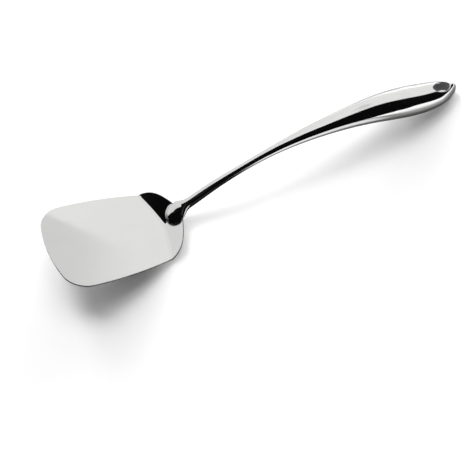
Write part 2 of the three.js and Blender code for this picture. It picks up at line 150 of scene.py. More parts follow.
class TurnerGripSizes(bpy.types.PropertyGroup):
    span: length_property("Span", "From the bend of the heel to the end of the handle", 0.2546)
    arch_height: length_property("Arch height", "Highest point of the centre line", 0.0276)
    width: length_property("Width", "Greatest width of the handle, about", 0.0283)
    depth: length_property("Depth", "Greatest depth of the handle, about", 0.0158)
    section_power: number_property("Section power", "2 is an oval, more is squarer", 2.3, 2.0)
    end_rounding: length_property("End rounding", "Length over which the end narrows", 0.018)
    end_depth_rounding: length_property("End edge rounding", "Length over which it thins", 0.0033)
    foot_width: length_property("Foot width", "Width of the foot on the heel", 0.0176)
    foot_nose: length_property("Foot nose", "Place of the foot's front end", 0.0046)
    foot_nose_rounding: length_property("Foot nose rounding", "Length of its rounding", 0.0065)
    foot_flare_length: length_property("Foot flare length", "How fast the foot narrows", 0.0054)
    foot_flare_start: length_property("Foot flare start", "Where the foot starts to narrow", 0.0145)
    foot_belly: length_property("Foot belly", "Thickness of the foot's edge", 0.0008)
    foot_crown: share_property("Foot crown", "The foot's height, as a share of the rod's", 0.4)
    foot_crown_length: length_property("Foot crown length", "Where it reaches the rod's", 0.02)
    foot_root_length: length_property("Foot root length", "Where the underside grows", 0.008)
    joint_gap: length_property("Joint gap", "Gap that the welds fill", 0.0003)
    neck_end: length_property("Neck end", "Where the neck meets the handle", 0.108)
    plug_length: length_property("Plug length", "Length of the neck inside the handle", 0.016)
    neck_weld: length_property("Neck weld", "Length of the weld round the neck", 0.0016)
    wall: length_property("Wall", "Thickness of the two shells", 0.001)
    seam_weld: length_property("Seam weld", "Height of the weld between the shells", 0.001)


class TurnerEyeSizes(bpy.types.PropertyGroup):
    setback: length_property("Setback", "From the end of the handle to the eye", 0.0128)
    length: length_property("Length", "Length of the eye's opening", 0.0136)
    width: length_property("Width", "Width of the eye's opening", 0.0096)
    wall: length_property("Wall", "Thickness of the sleeve", 0.0012)
    lip: length_property("Lip", "Radius of the sleeve's rounded lips", 0.0009)
    weld: length_property("Weld", "Width of the weld round the sleeve", 0.001)


class TurnerWeldSizes(bpy.types.PropertyGroup):
    fillet_reach: length_property("Fillet reach", "How far the weld at the foot spreads on the heel", 0.0015)
    fillet_climb: angle_property("Fillet climb", "How far it climbs round the foot's side", 24.0)
    ripple_pitch: length_property("Ripple pitch", "From one ripple of the weld to the next", 0.0011)
    ripple_depth: length_property("Ripple depth", "How far the ripples stand out", 0.00004)
    unevenness: length_property("Unevenness", "How far the weld wanders in and out", 0.0001)
    seed: bpy.props.IntProperty(name="Seed", description="Changes the weld's unevenness", default=7)


class TurnerFinish(bpy.types.PropertyGroup):
    steel: colour_property("Steel", "Colour of the bare steel", (0.86, 0.86, 0.85))
    weld: colour_property("Weld", "Colour of the ground welds", (0.78, 0.78, 0.765))
    blade_roughness: share_property("Blade roughness", "Blur of the blade's reflections", 0.02)
    grip_roughness: share_property("Grip roughness", "Blur of the handle's reflections", 0.05)
    weld_roughness: share_property("Weld roughness", "Blur of the foot weld's reflections", 0.12)
    scratch_pitch: length_property("Scratch pitch", "Spacing of the polishing lines", 0.0004)
    smudge_size: length_property("Smudge size", "Size of the faint smudges", 0.02)


class TurnerStageSizes(bpy.types.PropertyGroup):
    azimuth: angle_property("Azimuth", "Where the camera stands round the turner", -10.37)
    elevation: angle_property("Elevation", "How high the camera stands", 53.0)
    roll: angle_property("Roll", "How far the camera is turned about its view", -16.73)
    distance: length_property("Distance", "From the camera to its target", 1.062)
    target: bpy.props.FloatVectorProperty(
        name="Target",
        description="The point in the middle of the picture",
        default=(-0.03943, -0.03437, 0.0009),
        size=3,
        subtype="TRANSLATION",
    )
    lens: bpy.props.FloatProperty(
        name="Lens", description="Focal length on a 36 mm sensor", default=108.62, min=1.0, unit="CAMERA"
    )
    table: colour_property("Table", "Colour of the table", (0.97, 0.97, 0.97))
    table_size: length_property("Table size", "Side of the table", 6.0)
    # Painted shade: behind the turner, the table's colour in the steel is set to this share of its own
    mirrored_table_with_painted_shade: share_property("Mirrored table", "How bright the table is in the steel", 0.5)
    table_white: number_property("Table white", "How much whiter it shows than it lights the turner", 1.057)
    light_level: number_property("Light level", "How brightly the table is lit", 0.975)


GROUPS = {
    "turner_blade": TurnerBladeSizes,
    "turner_grip": TurnerGripSizes,
    "turner_eye": TurnerEyeSizes,
    "turner_weld": TurnerWeldSizes,
    "turner_finish": TurnerFinish,
    "turner_stage": TurnerStageSizes,
}


# Numbers and curves


def mix(low, high, share):
    return low + (high - low) * share


def smooth_step(x, low, high):
    share = np.clip((x - low) / (high - low), 0, 1)
    return share * share * (3 - 2 * share)


def cubic_curve(points, share):
    """Points at the shares of a cubic curve with four control points."""
    a, b, c, d = (np.asarray(point, float) for point in points)
    t = np.asarray(share, float)[..., None]
    return a * (1 - t) ** 3 + 3 * b * t * (1 - t) ** 2 + 3 * c * t * t * (1 - t) + d * t**3


def smooth_through(xs, ys):
    """The natural cubic spline through the points, as a function of x."""
    xs, ys = np.asarray(xs, float), np.asarray(ys, float)
    steps = np.diff(xs)
    slopes = np.diff(ys) / steps
    system = np.eye(len(xs))
    wanted = np.zeros(len(xs))
    for i in range(1, len(xs) - 1):
        system[i, i - 1 : i + 2] = steps[i - 1], 2 * (steps[i - 1] + steps[i]), steps[i]
        wanted[i] = 6 * (slopes[i] - slopes[i - 1])
    bends = np.linalg.solve(system, wanted)

    def value(x):
        i = np.clip(np.searchsorted(xs, x) - 1, 0, len(steps) - 1)
        before, after, step = x - xs[i], xs[i + 1] - x, steps[i]
        cubic = (bends[i] * after**3 + bends[i + 1] * before**3) / (6 * step)
        rise = (ys[i + 1] / step - bends[i + 1] * step / 6) * before
        return cubic + rise + (ys[i] / step - bends[i] * step / 6) * after

    return value


def rounding(from_end, length):
    """The quarter of an oval that rounds an end: 0 at the end itself, 1 from the length inwards."""
    share = np.clip(from_end / length, 0, 1)
    return np.sqrt(1 - (1 - share) ** 2)


def unit(vectors):
    lengths = np.linalg.norm(vectors, axis=-1, keepdims=True)
    return vectors / np.maximum(lengths, 1e-12)


# Forms, which repeat the solids' own rules


class BladeForm:
    """The sheet of blade and heel, less a margin all round its outline."""

    def __init__(self, sizes, margin=0.0):
        self.s = sizes
        self.length = sizes.length - margin
        self.front = sizes.front_width - 2 * margin
        self.heel = sizes.heel_width - 2 * margin
        self.reach = sizes.heel_reach - margin
        self.side = self.length - sizes.front_bow
        turn = sizes.tilt + sizes.heel_rise
        lift = (math.cos(sizes.tilt) + math.cos(sizes.heel_rise)) / (1 + math.cos(turn)) - 1
        self.bend_height = sizes.thickness - sizes.bend_radius * lift
        self.bend_length = sizes.bend_radius * math.tan(turn / 2)

    def half_width(self, forward):
        share = forward / self.side
        return mix(self.heel, self.front, share) / 2 + self.s.side_bow * 4 * share * (1 - share)

    def on_blade(self, forward, across):
        forward, across = np.broadcast_arrays(forward, across)
        rise = self.bend_height + forward * math.sin(self.s.tilt)
        return np.stack([-forward * math.cos(self.s.tilt), across, rise], -1)

    def front_edge(self, share):
        """The front edge from the middle, at 0, round the corner to the side, at 1."""
        half = self.front / 2
        cut = self.s.corner_cut
        arc_share = 0.5

        def arc(across):
            return np.stack([self.length - self.s.front_bow * (across / half) ** 2, across], -1)

        side = self.side - cut
        corner = np.array([self.side, half])
        start = arc(np.array(half - cut))
        end = np.array([side, self.half_width(side)])
        handle = self.s.corner_handle
        turn = cubic_curve(
            [start, mix(start, corner, handle), mix(end, corner, handle), end],
            np.clip((share - arc_share) / (1 - arc_share), 0, 1),
        )
        return np.where((share <= arc_share)[..., None], arc((half - cut) * share / arc_share), turn)

    def bend(self, share):
        forward = self.s.bend_bow * share**self.s.bend_bow_power
        return self.on_blade(forward, share * self.half_width(self.s.bend_bow))

    def rim(self, share):
        side = self.bend(np.array(1.0))
        plan = cubic_curve(
            [
                (self.reach, 0),
                (self.reach * 0.635, side[1] * 0.38),
                (self.reach * 0.5, side[1] * 0.918),
                (side[0], side[1]),
            ],
            share,
        )
        bend = self.bend(share)
        rise = bend[..., 2] + (plan[..., 0] - bend[..., 0]) * math.tan(self.s.heel_rise)
        return np.stack([plan[..., 0], plan[..., 1], rise], -1)

    def flange_top(self, x, y):
        """The height of the heel's upper face under a point."""
        bend = self.bend(np.clip(np.abs(y) / self.half_width(self.s.bend_bow), 0, 1))
        return bend[..., 2] + (x - bend[..., 0]) * math.tan(self.s.heel_rise)

    def sheet(self, lines, blade_rows, bend_rows, flange_rows):
        """Upper points, lower points and upward normals, one line of the sheet after the other."""
        place = np.linspace(-1, 1, 2 * lines + 1)
        share, side = np.abs(place), np.sign(place)
        front = self.front_edge(share)
        edge = self.on_blade(front[:, 0], front[:, 1])
        bend, rim = self.bend(share), self.rim(share)
        to_edge = np.linalg.norm(edge - bend, axis=1)
        start = mix(bend, edge, (self.bend_length / to_edge)[:, None])
        flange = np.maximum(rim[:, 0] - bend[:, 0], self.bend_length)
        end = mix(bend, rim, np.minimum(self.bend_length / flange, 0.5)[:, None])
        rows, leans = [], []
        corner = self.side - self.s.corner_cut
        for along in np.arange(blade_rows) / blade_rows:
            row = mix(edge, start, along)
            forward = mix(corner, self.s.bend_bow, along)
            chord = mix(self.half_width(corner), self.half_width(self.s.bend_bow), along)
            row[:, 1] += share * (self.half_width(forward) - chord)
            rows.append(row)
            leans.append(-self.s.tilt)
        for t in np.linspace(0, 1, bend_rows + 1):
            rows.append(start * (1 - t) ** 2 + 2 * bend * t * (1 - t) + end * t * t)
            leans.append(mix(-self.s.tilt, self.s.heel_rise, t))
        for t in np.arange(1, flange_rows + 1) / flange_rows:
            rows.append(mix(end, rim, t))
            leans.append(self.s.heel_rise)
        points = np.stack(rows, 1)
        points[..., 1] *= side[:, None]
        leans = np.broadcast_to(np.array(leans), points.shape[:2])
        squares = np.stack([-np.sin(leans), np.zeros(leans.shape), np.cos(leans)], -1)
        normals = np.cross(np.gradient(points, axis=1), np.gradient(points, axis=0))
        lengths = np.linalg.norm(normals, axis=-1, keepdims=True)
        normals = np.where(lengths > 1e-12, unit(normals), squares)
        normals *= np.sign(normals[..., 2:])
        return points, points - squares * self.s.thickness, normals


class GripForm:
    """The outer form of neck and handle: squarish oval sections square to a curved centre line."""

    def __init__(self, sizes, blade):
        self.s = sizes
        stations = GRIP_STATIONS
        nose, root = sizes.foot_nose, blade.s.heel_reach
        seats = np.array([nose, (nose + root) / 2, root])
        lift = (sizes.joint_gap + sizes.foot_belly) / math.cos(blade.s.heel_rise)
        self.height = smooth_through(
            np.concatenate([seats, stations[:, 0] * sizes.span]),
            np.concatenate([blade.flange_top(seats, 0 * seats) + lift, stations[:, 1] * sizes.arch_height]),
        )
        places = np.concatenate([[nose], stations[:, 0] * sizes.span])
        widths, depths = stations[:, 2] * sizes.width / 2, stations[:, 3] * sizes.depth / 2
        self.half_width = smooth_through(places, np.concatenate([[0.33 * sizes.width / 2], widths]))
        self.half_depth = smooth_through(places, np.concatenate([[0.456 * sizes.depth / 2], depths]))
        self.root = root

    def form(self, x, wall=0.0):
        """Half width, height above the centre line and depth below it at places along the grip."""
        s = self.s
        x = np.asarray(x, float)
        end = s.span - wall
        nose = rounding(x - s.foot_nose, s.foot_nose_rounding)
        width, depth = self.half_width(x) - wall, self.half_depth(x) - wall
        past = np.maximum(x - s.foot_flare_start, 0)
        spread = mix(width, s.foot_width / 2, np.exp(-((past / s.foot_flare_length) ** 2)))
        crowned = smooth_step(x, s.foot_nose, s.foot_nose + s.foot_crown_length)
        rooted = smooth_step(x, self.root, self.root + s.foot_root_length)
        end_depth = rounding(end - x, s.end_depth_rounding - wall)
        return np.stack(
            [
                spread * nose * rounding(end - x, s.end_rounding - wall),
                depth * mix(s.foot_crown, 1, crowned) * nose * end_depth,
                mix(s.foot_belly * nose, depth, rooted) * end_depth,
            ],
            -1,
        )

    def spine(self, x):
        """The centre line's points and upward normals."""
        x = np.asarray(x, float)
        reach = self.s.span / 1000
        slope = (self.height(x + reach) - self.height(x - reach)) / (2 * reach)
        zero = np.zeros_like(x)
        return np.stack([x, zero, self.height(x)], -1), unit(np.stack([-slope, zero, zero + 1], -1))

    def section(self, x, form, angle):
        """Points of the sections at angles from the left side over the top."""
        centre, up = self.spine(x)
        power = 2 / self.s.section_power
        across = np.sign(np.cos(angle)) * np.abs(np.cos(angle)) ** power * form[..., 0]
        high = np.sign(np.sin(angle)) * np.abs(np.sin(angle)) ** power
        rise = high * np.where(high > 0, form[..., 1], form[..., 2])
        return centre + up * rise[..., None] + across[..., None] * np.array([0, 1, 0])

    def edge_angle(self, depth):
        """The angle above a section's side at which the weld between the shells ends."""
        height, most = self.s.seam_weld / 2, 0.5
        share = np.where(depth > 0, np.minimum(height / np.maximum(depth, 1e-9), most), most)
        return np.arcsin(share ** (self.s.section_power / 2))

    def place_of(self, points):
        """The places along the grip whose sections pass through the points."""
        place = points[..., 0].copy()
        for _ in range(SETTLING_ROUNDS):
            centre, up = self.spine(place)
            along = np.stack([up[..., 2], np.zeros_like(place), -up[..., 0]], -1)
            place += ((points - centre) * along).sum(-1) * up[..., 2]
        return np.clip(place, self.s.foot_nose + 2e-6, self.s.span - 2e-6)

    def normals(self, points):
        """Outward normals of the form at points on it, and how far each point is from it, as a share."""
        place = self.place_of(points)
        centre, up = self.spine(place)
        along = np.stack([up[..., 2], np.zeros_like(place), -up[..., 0]], -1)
        rise = ((points - centre) * up).sum(-1)
        reach = 1e-6
        parts, slopes = self.form(place), (self.form(place + reach) - self.form(place - reach)) / (2 * reach)
        over = rise > 0
        depth, grow = (np.where(over, p[..., 1], p[..., 2]) for p in (parts, slopes))
        n = self.s.section_power
        wide = np.abs(points[..., 1]) / np.maximum(parts[..., 0], 1e-9)
        high = np.abs(rise) / np.maximum(depth, 1e-9)
        d_across = wide ** (n - 1) * np.sign(points[..., 1]) / np.maximum(parts[..., 0], 1e-9)
        d_rise = high ** (n - 1) * np.sign(rise) / np.maximum(depth, 1e-9)
        d_along = -(wide**n) * slopes[..., 0] / np.maximum(parts[..., 0], 1e-9)
        d_along -= high**n * grow / np.maximum(depth, 1e-9)
        normal = d_across[..., None] * np.array([0, 1, 0]) + d_rise[..., None] * up
        normal += d_along[..., None] * along
        return unit(normal), wide**n + high**n - 1


class EyeForm:
    """The oval of the hanging eye and the grip's faces round it."""

    def __init__(self, sizes, grip):
        self.s, self.grip = sizes, grip
        self.place = grip.s.span - sizes.setback
        centre, up = grip.spine(np.array(self.place))
        self.centre, self.up = centre, up
        self.along = np.array([up[2], 0, -up[0]])
        self.weld_inside = sizes.wall
        self.weld_outside = sizes.wall + sizes.weld + 2 * grip.s.joint_gap

    def point(self, turn, margin, height):
        along = np.cos(turn) * (self.s.length / 2 + margin)
        across = np.sin(turn) * (self.s.width / 2 + margin)
        point = self.centre + along[..., None] * self.along + np.asarray(height)[..., None] * self.up
        return point + across[..., None] * np.array([0, 1, 0])

    def face_height(self, turn, margin, side):
        """The height of the grip's upper (1) or lower (-1) face over points of the oval."""
        wanted = self.point(turn, margin, np.zeros_like(turn))
        place = wanted[..., 0].copy()
        for _ in range(SETTLING_ROUNDS):
            form = self.grip.form(place)
            level = np.maximum(1 - np.abs(wanted[..., 1] / form[..., 0]) ** self.grip.s.section_power, 0)
            rise = side * (form[..., 1] if side > 0 else form[..., 2])
            rise = rise * level ** (1 / self.grip.s.section_power)
            centre, up = self.grip.spine(place)
            found = centre + up * rise[..., None] - self.centre
            place += ((wanted - self.centre - found) * self.along).sum(-1)
        return (found * self.up).sum(-1)


def forms(context):
    blade = BladeForm(context.scene.turner_blade)
    grip = GripForm(context.scene.turner_grip, blade)
    return blade, grip, EyeForm(context.scene.turner_eye, grip)


# Meshes


def placed(points):
    """Points moved from the bend of the heel to the frame's own place for the turner."""
    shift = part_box("handle_upper_shell")[1].x - bpy.context.scene.turner_grip.span
    return np.asarray(points, float) + np.array([shift, 0, 0])


def joined(points, faces):
    """One row for each place, and the faces that still have three different corners."""
    keys = np.round(points / 1e-8).astype(np.int64)
    _, first, index = np.unique(keys, axis=0, return_index=True, return_inverse=True)
    index = index.reshape(-1)
    kept = []
    for face in faces:
        corners = [index[i] for i in face]
        corners = [c for i, c in enumerate(corners) if c != corners[i - 1]]
        if len(set(corners)) > 2:
            kept.append([int(c) for c in corners])
    return first, kept


def grid_faces(start, rows, columns, closed=False, turned=False):
    """The faces of a grid whose first point has number `start`."""
    faces = []
    for i in range(rows - 1):
        for j in range(columns if closed else columns - 1):
            k = (j + 1) % columns
            low, high = start + i * columns, start + (i + 1) * columns
            face = [low + j, high + j, high + k, low + k]
            faces.append(face[::-1] if turned else face)
    return faces


def new_piece(name, points, faces, normals=None):
    """An object from points that may repeat and the faces between them, facing outwards."""
    first, faces = joined(points, faces)
    mesh = bpy.data.meshes.new(name)
    mesh.from_pydata(placed(points[first]), [], faces)
    mesh.validate()
    piece = bpy.data.objects.new(name, mesh)
    bpy.context.scene.collection.objects.link(piece)
    if volume_of(mesh) < 0:
        mesh.flip_normals()
    mesh.shade_smooth()
    if normals is not None:
        mesh.normals_split_custom_set_from_vertices(normals[first])
    return piece


def volume_of(mesh):
    mesh.calc_loop_triangles()
    corners = np.empty(len(mesh.loop_triangles) * 3, np.int32)
    mesh.loop_triangles.foreach_get("vertices", corners)
    places = np.empty(len(mesh.vertices) * 3)
    mesh.vertices.foreach_get("co", places)
    a, b, c = places.reshape(-1, 3)[corners].reshape(-1, 3, 3).transpose(1, 0, 2)
    return float((a * np.cross(b, c)).sum())


def shade_by_grip(piece, grip):
    """Gives the corners that lie on the grip's outer face that form's exact normals."""
    mesh = piece.data
    shift = placed(np.zeros(3))
    places = np.empty(len(mesh.vertices) * 3)
    mesh.vertices.foreach_get("co", places)
    exact, miss = grip.normals(places.reshape(-1, 3) - shift)
    flat = np.empty(len(mesh.polygons) * 3)
    mesh.polygons.foreach_get("normal", flat)
    flat = flat.reshape(-1, 3)
    corners = np.empty(len(mesh.loops), np.int32)
    mesh.loops.foreach_get("vertex_index", corners)
    sizes = np.empty(len(mesh.polygons), np.int32)
    mesh.polygons.foreach_get("loop_total", sizes)
    face_of = np.repeat(np.arange(len(sizes)), sizes)
    on_form = (np.abs(miss[corners]) < 0.02) & ((exact[corners] * flat[face_of]).sum(1) > 0.7)
    mesh.shade_smooth()
    mesh.normals_split_custom_set(np.where(on_form[:, None], exact[corners], flat[face_of]))


def claim(piece, slot, material, *nodes):
    """Puts a finished piece in the place of the frame's nodes."""
    piece.data.materials.clear()
    piece.data.materials.append(material)
    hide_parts(*nodes)
    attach(piece, "root")
    return piece


def applied(piece):
    """The object with its modifiers made part of its mesh."""
    bpy.context.view_layer.update()
    seen = piece.evaluated_get(bpy.context.evaluated_depsgraph_get())
    mesh = bpy.data.meshes.new_from_object(seen)
    piece.modifiers.clear()
    piece.data = mesh
    mesh.name = piece.name
    return piece


# Node trees


def put(tree, kind, inputs=None, **settings):
    """A new node with its settings, and its inputs set to values or linked to sockets."""
    made = tree.nodes.new(kind)
    for name, value in settings.items():
        setattr(made, name, value)
    for name, value in (inputs or {}).items():
        if isinstance(value, bpy.types.NodeSocket):
            tree.links.new(value, made.inputs[name])
        else:
            made.inputs[name].default_value = value
    return made


def calc(tree, operation, *values, clamp=False):
    """The result of a Math node."""
    made = put(tree, "ShaderNodeMath", dict(enumerate(values)), operation=operation)
    made.use_clamp = clamp
    return made.outputs[0]


def vector_sum(tree, first, second):
    return put(tree, "ShaderNodeVectorMath", {0: first, 1: second}, operation="ADD").outputs[0]


def scaled(tree, vector, scale):
    return put(tree, "ShaderNodeVectorMath", {0: vector, "Scale": scale}, operation="SCALE").outputs[0]


def split(tree, vector):
    return put(tree, "ShaderNodeSeparateXYZ", {0: vector}).outputs


def blend(tree, share, low, high):
    """A value between two others."""
    return put(tree, "ShaderNodeMix", {"Factor": share, 2: low, 3: high}).outputs[0]


def cleared(holder):
    """The empty node tree of a material or world."""
    holder.use_nodes = True
    holder.node_tree.nodes.clear()
    return holder.node_tree


def bell(tree, value, middle, width):
    """A bell curve: 1 at its middle, and a third of it at its width."""
    share = calc(tree, "DIVIDE", calc(tree, "SUBTRACT", value, middle), width)
    return calc(tree, "EXPONENT", calc(tree, "MULTIPLY", calc(tree, "MULTIPLY", share, share), -1.0))


def ramp(tree, value, low, high, before=0.0, after=1.0):
    """A soft step from one level to another between two values."""
    inputs = {"Value": value, "From Min": low, "From Max": high, "To Min": before, "To Max": after}
    return put(tree, "ShaderNodeMapRange", inputs, interpolation_type="SMOOTHSTEP").outputs[0]


def new_tree(name, kind, inputs, outputs):
    """A node group with named inputs and outputs, its input node and its output node."""
    tree = bpy.data.node_groups.new(name, kind)
    for label, socket, value in inputs:
        made = tree.interface.new_socket(name=label, in_out="INPUT", socket_type=socket)
        if value is not None:
            made.default_value = value
    for label, socket in outputs:
        tree.interface.new_socket(name=label, in_out="OUTPUT", socket_type=socket)
    return tree, tree.nodes.new("NodeGroupInput").outputs, tree.nodes.new("NodeGroupOutput").inputs


def run_tree(piece, tree, values):
    """Runs a geometry tree on a piece with its inputs set by name, and keeps the result."""
    modifier = piece.modifiers.new(tree.name, "NODES")
    modifier.node_group = tree
    for item in tree.interface.items_tree:
        if item.in_out == "INPUT" and item.name in values:
            modifier[item.identifier] = values[item.name]
    return applied(piece)


def named_vector(tree, name):
    return put(
        tree, "GeometryNodeInputNamedAttribute", {"Name": name}, data_type="FLOAT_VECTOR"
    ).outputs["Attribute"]


def rail_sheet(tree, rail, steps):
    """A sheet with a row for each point of a rail, each point's share of the way across its row, and
    what gives it a vector of the rail."""
    rings = put(tree, "GeometryNodeAttributeDomainSize", {"Geometry": rail}).outputs["Point Count"]
    columns = calc(tree, "ADD", steps, 1.0)
    sizes = {"Size X": 1.0, "Size Y": 1.0, "Vertices X": rings, "Vertices Y": columns}
    sheet = put(tree, "GeometryNodeMeshGrid", sizes).outputs["Mesh"]
    cell = split(tree, put(tree, "GeometryNodeInputPosition").outputs[0])
    last_ring = calc(tree, "SUBTRACT", rings, 1.0)
    ring = calc(tree, "ROUND", calc(tree, "MULTIPLY", calc(tree, "ADD", cell[0], 0.5), last_ring))

    def of_ring(field):
        inputs = {"Geometry": rail, "Value": field, "Index": ring}
        kinds = {"data_type": "FLOAT_VECTOR", "domain": "POINT"}
        return put(tree, "GeometryNodeSampleIndex", inputs, **kinds).outputs[0]

    return sheet, calc(tree, "ADD", cell[1], 0.5), of_ring


def finish_sheet(tree, sheet, place, given, result, smooth=False):
    """Moves a sheet to its place, joins its doubles, gives it its finish and puts it out."""
    swept = put(tree, "GeometryNodeSetPosition", {"Geometry": sheet, "Position": place}).outputs[0]
    join = {"Geometry": swept, "Distance": given["Join distance"]}
    closed = put(tree, "GeometryNodeMergeByDistance", join).outputs[0]
    if smooth:
        closed = put(tree, "GeometryNodeSetShadeSmooth", {"Geometry": closed}).outputs[0]
    real = put(tree, "GeometryNodeRealizeInstances", {"Geometry": closed}).outputs[0]
    finished = put(tree, "GeometryNodeSetMaterial", {"Geometry": real, "Material": given["Finish"]})
    tree.links.new(finished.outputs[0], result)


def section_sweep_tree():
    """Sweeps squarish oval sections along the points of a rail, each with its own form and reach."""
    tree, given, result = new_tree(
        "Grip section sweep",
        "GeometryNodeTree",
        [
            ("Rail", "NodeSocketGeometry", None),
            ("Section steps", "NodeSocketInt", 96),
            ("Section power", "NodeSocketFloat", 2.3),
            ("Join distance", "NodeSocketFloat", 2e-7),
            ("Finish", "NodeSocketMaterial", None),
        ],
        [("Grip", "NodeSocketGeometry")],
    )
    sheet, step, of_ring = rail_sheet(tree, given["Rail"], given["Section steps"])
    centre = of_ring(put(tree, "GeometryNodeInputPosition").outputs[0])
    up = of_ring(named_vector(tree, "up"))
    form = split(tree, of_ring(named_vector(tree, "form")))
    reach = split(tree, of_ring(named_vector(tree, "reach")))
    angle = calc(tree, "MULTIPLY_ADD", step, calc(tree, "SUBTRACT", reach[1], reach[0]), reach[0])
    power = calc(tree, "DIVIDE", 2.0, given["Section power"])

    def powered(wave):
        value = calc(tree, wave, angle)
        size = calc(tree, "POWER", calc(tree, "ABSOLUTE", value), power)
        return calc(tree, "MULTIPLY", calc(tree, "SIGN", value), size)

    across = calc(tree, "MULTIPLY", powered("COSINE"), form[0])
    high = powered("SINE")
    over = calc(tree, "GREATER_THAN", high, 0.0)
    depth = calc(tree, "MULTIPLY_ADD", over, calc(tree, "SUBTRACT", form[1], form[2]), form[2])
    lifted = scaled(tree, up, calc(tree, "MULTIPLY", high, depth))
    aside = put(tree, "ShaderNodeCombineXYZ", {"X": 0.0, "Y": across, "Z": 0.0}).outputs[0]
    place = vector_sum(tree, centre, vector_sum(tree, lifted, aside))
    finish_sheet(tree, sheet, place, given, result["Grip"])
    return tree


def weld_fillet_tree():
    """A hollow fillet of weld along a rail, with the shallow ripples that the weld pool leaves."""
    tree, given, result = new_tree(
        "Weld fillet",
        "GeometryNodeTree",
        [
            ("Rail", "NodeSocketGeometry", None),
            ("Steps", "NodeSocketInt", 24),
            ("Ripple pitch", "NodeSocketFloat", 0.0011),
            ("Ripple depth", "NodeSocketFloat", 0.00006),
            ("Unevenness", "NodeSocketFloat", 0.0001),
            ("Seed", "NodeSocketInt", 7),
            ("Join distance", "NodeSocketFloat", 2e-6),
            ("Finish", "NodeSocketMaterial", None),
        ],
        [("Fillet", "NodeSocketGeometry")],
    )
    forth_part, back_part = 0.7, 0.3
    sheet, step, of_ring = rail_sheet(tree, given["Rail"], given["Steps"])
    lines = (of_ring(named_vector(tree, name)) for name in ("toe", "top", "root", "inside"))
    toe, top, root, inside = lines
    along = split(tree, of_ring(named_vector(tree, "along")))[0]
    back = calc(tree, "GREATER_THAN", step, forth_part)
    forth_share = calc(tree, "DIVIDE", step, forth_part)
    back_share = calc(tree, "DIVIDE", calc(tree, "SUBTRACT", step, forth_part), back_part)
    share = blend(tree, back, forth_share, back_share)

    def either(forth, on_the_way_back):
        inputs = {"Factor": back, 4: forth, 5: on_the_way_back}
        return put(tree, "ShaderNodeMix", inputs, data_type="VECTOR").outputs[1]

    rest = calc(tree, "SUBTRACT", 1.0, share)
    middle = calc(tree, "MULTIPLY", calc(tree, "MULTIPLY", share, rest), 2.0)
    place = scaled(tree, either(toe, top), calc(tree, "MULTIPLY", rest, rest))
    place = vector_sum(tree, place, scaled(tree, either(root, inside), middle))
    last = scaled(tree, either(top, toe), calc(tree, "MULTIPLY", share, share))
    place = vector_sum(tree, place, last)
    beats = calc(tree, "DIVIDE", along, given["Ripple pitch"])
    wave = calc(tree, "ABSOLUTE", calc(tree, "SINE", calc(tree, "MULTIPLY", beats, math.pi)))
    noise_pace, seed_stride = 0.45, 3.7
    start = calc(tree, "MULTIPLY", given["Seed"], seed_stride)
    inputs = {"W": calc(tree, "MULTIPLY_ADD", beats, noise_pace, start), "Scale": 1.0, "Detail": 2.0}
    noise = put(tree, "ShaderNodeTexNoise", inputs, noise_dimensions="1D").outputs[0]
    rise = calc(tree, "MULTIPLY", calc(tree, "SUBTRACT", noise, 0.5), given["Unevenness"])
    rise = calc(tree, "MULTIPLY_ADD", wave, given["Ripple depth"], rise)
    rise = calc(tree, "MULTIPLY", rise, calc(tree, "MULTIPLY", middle, calc(tree, "SUBTRACT", 1.0, back)))
    out = of_ring(named_vector(tree, "out"))
    out = put(tree, "ShaderNodeVectorMath", {0: out}, operation="NORMALIZE").outputs[0]
    place = vector_sum(tree, place, scaled(tree, out, rise))
    finish_sheet(tree, sheet, place, given, result["Fillet"], smooth=True)
    return tree


# Finishes


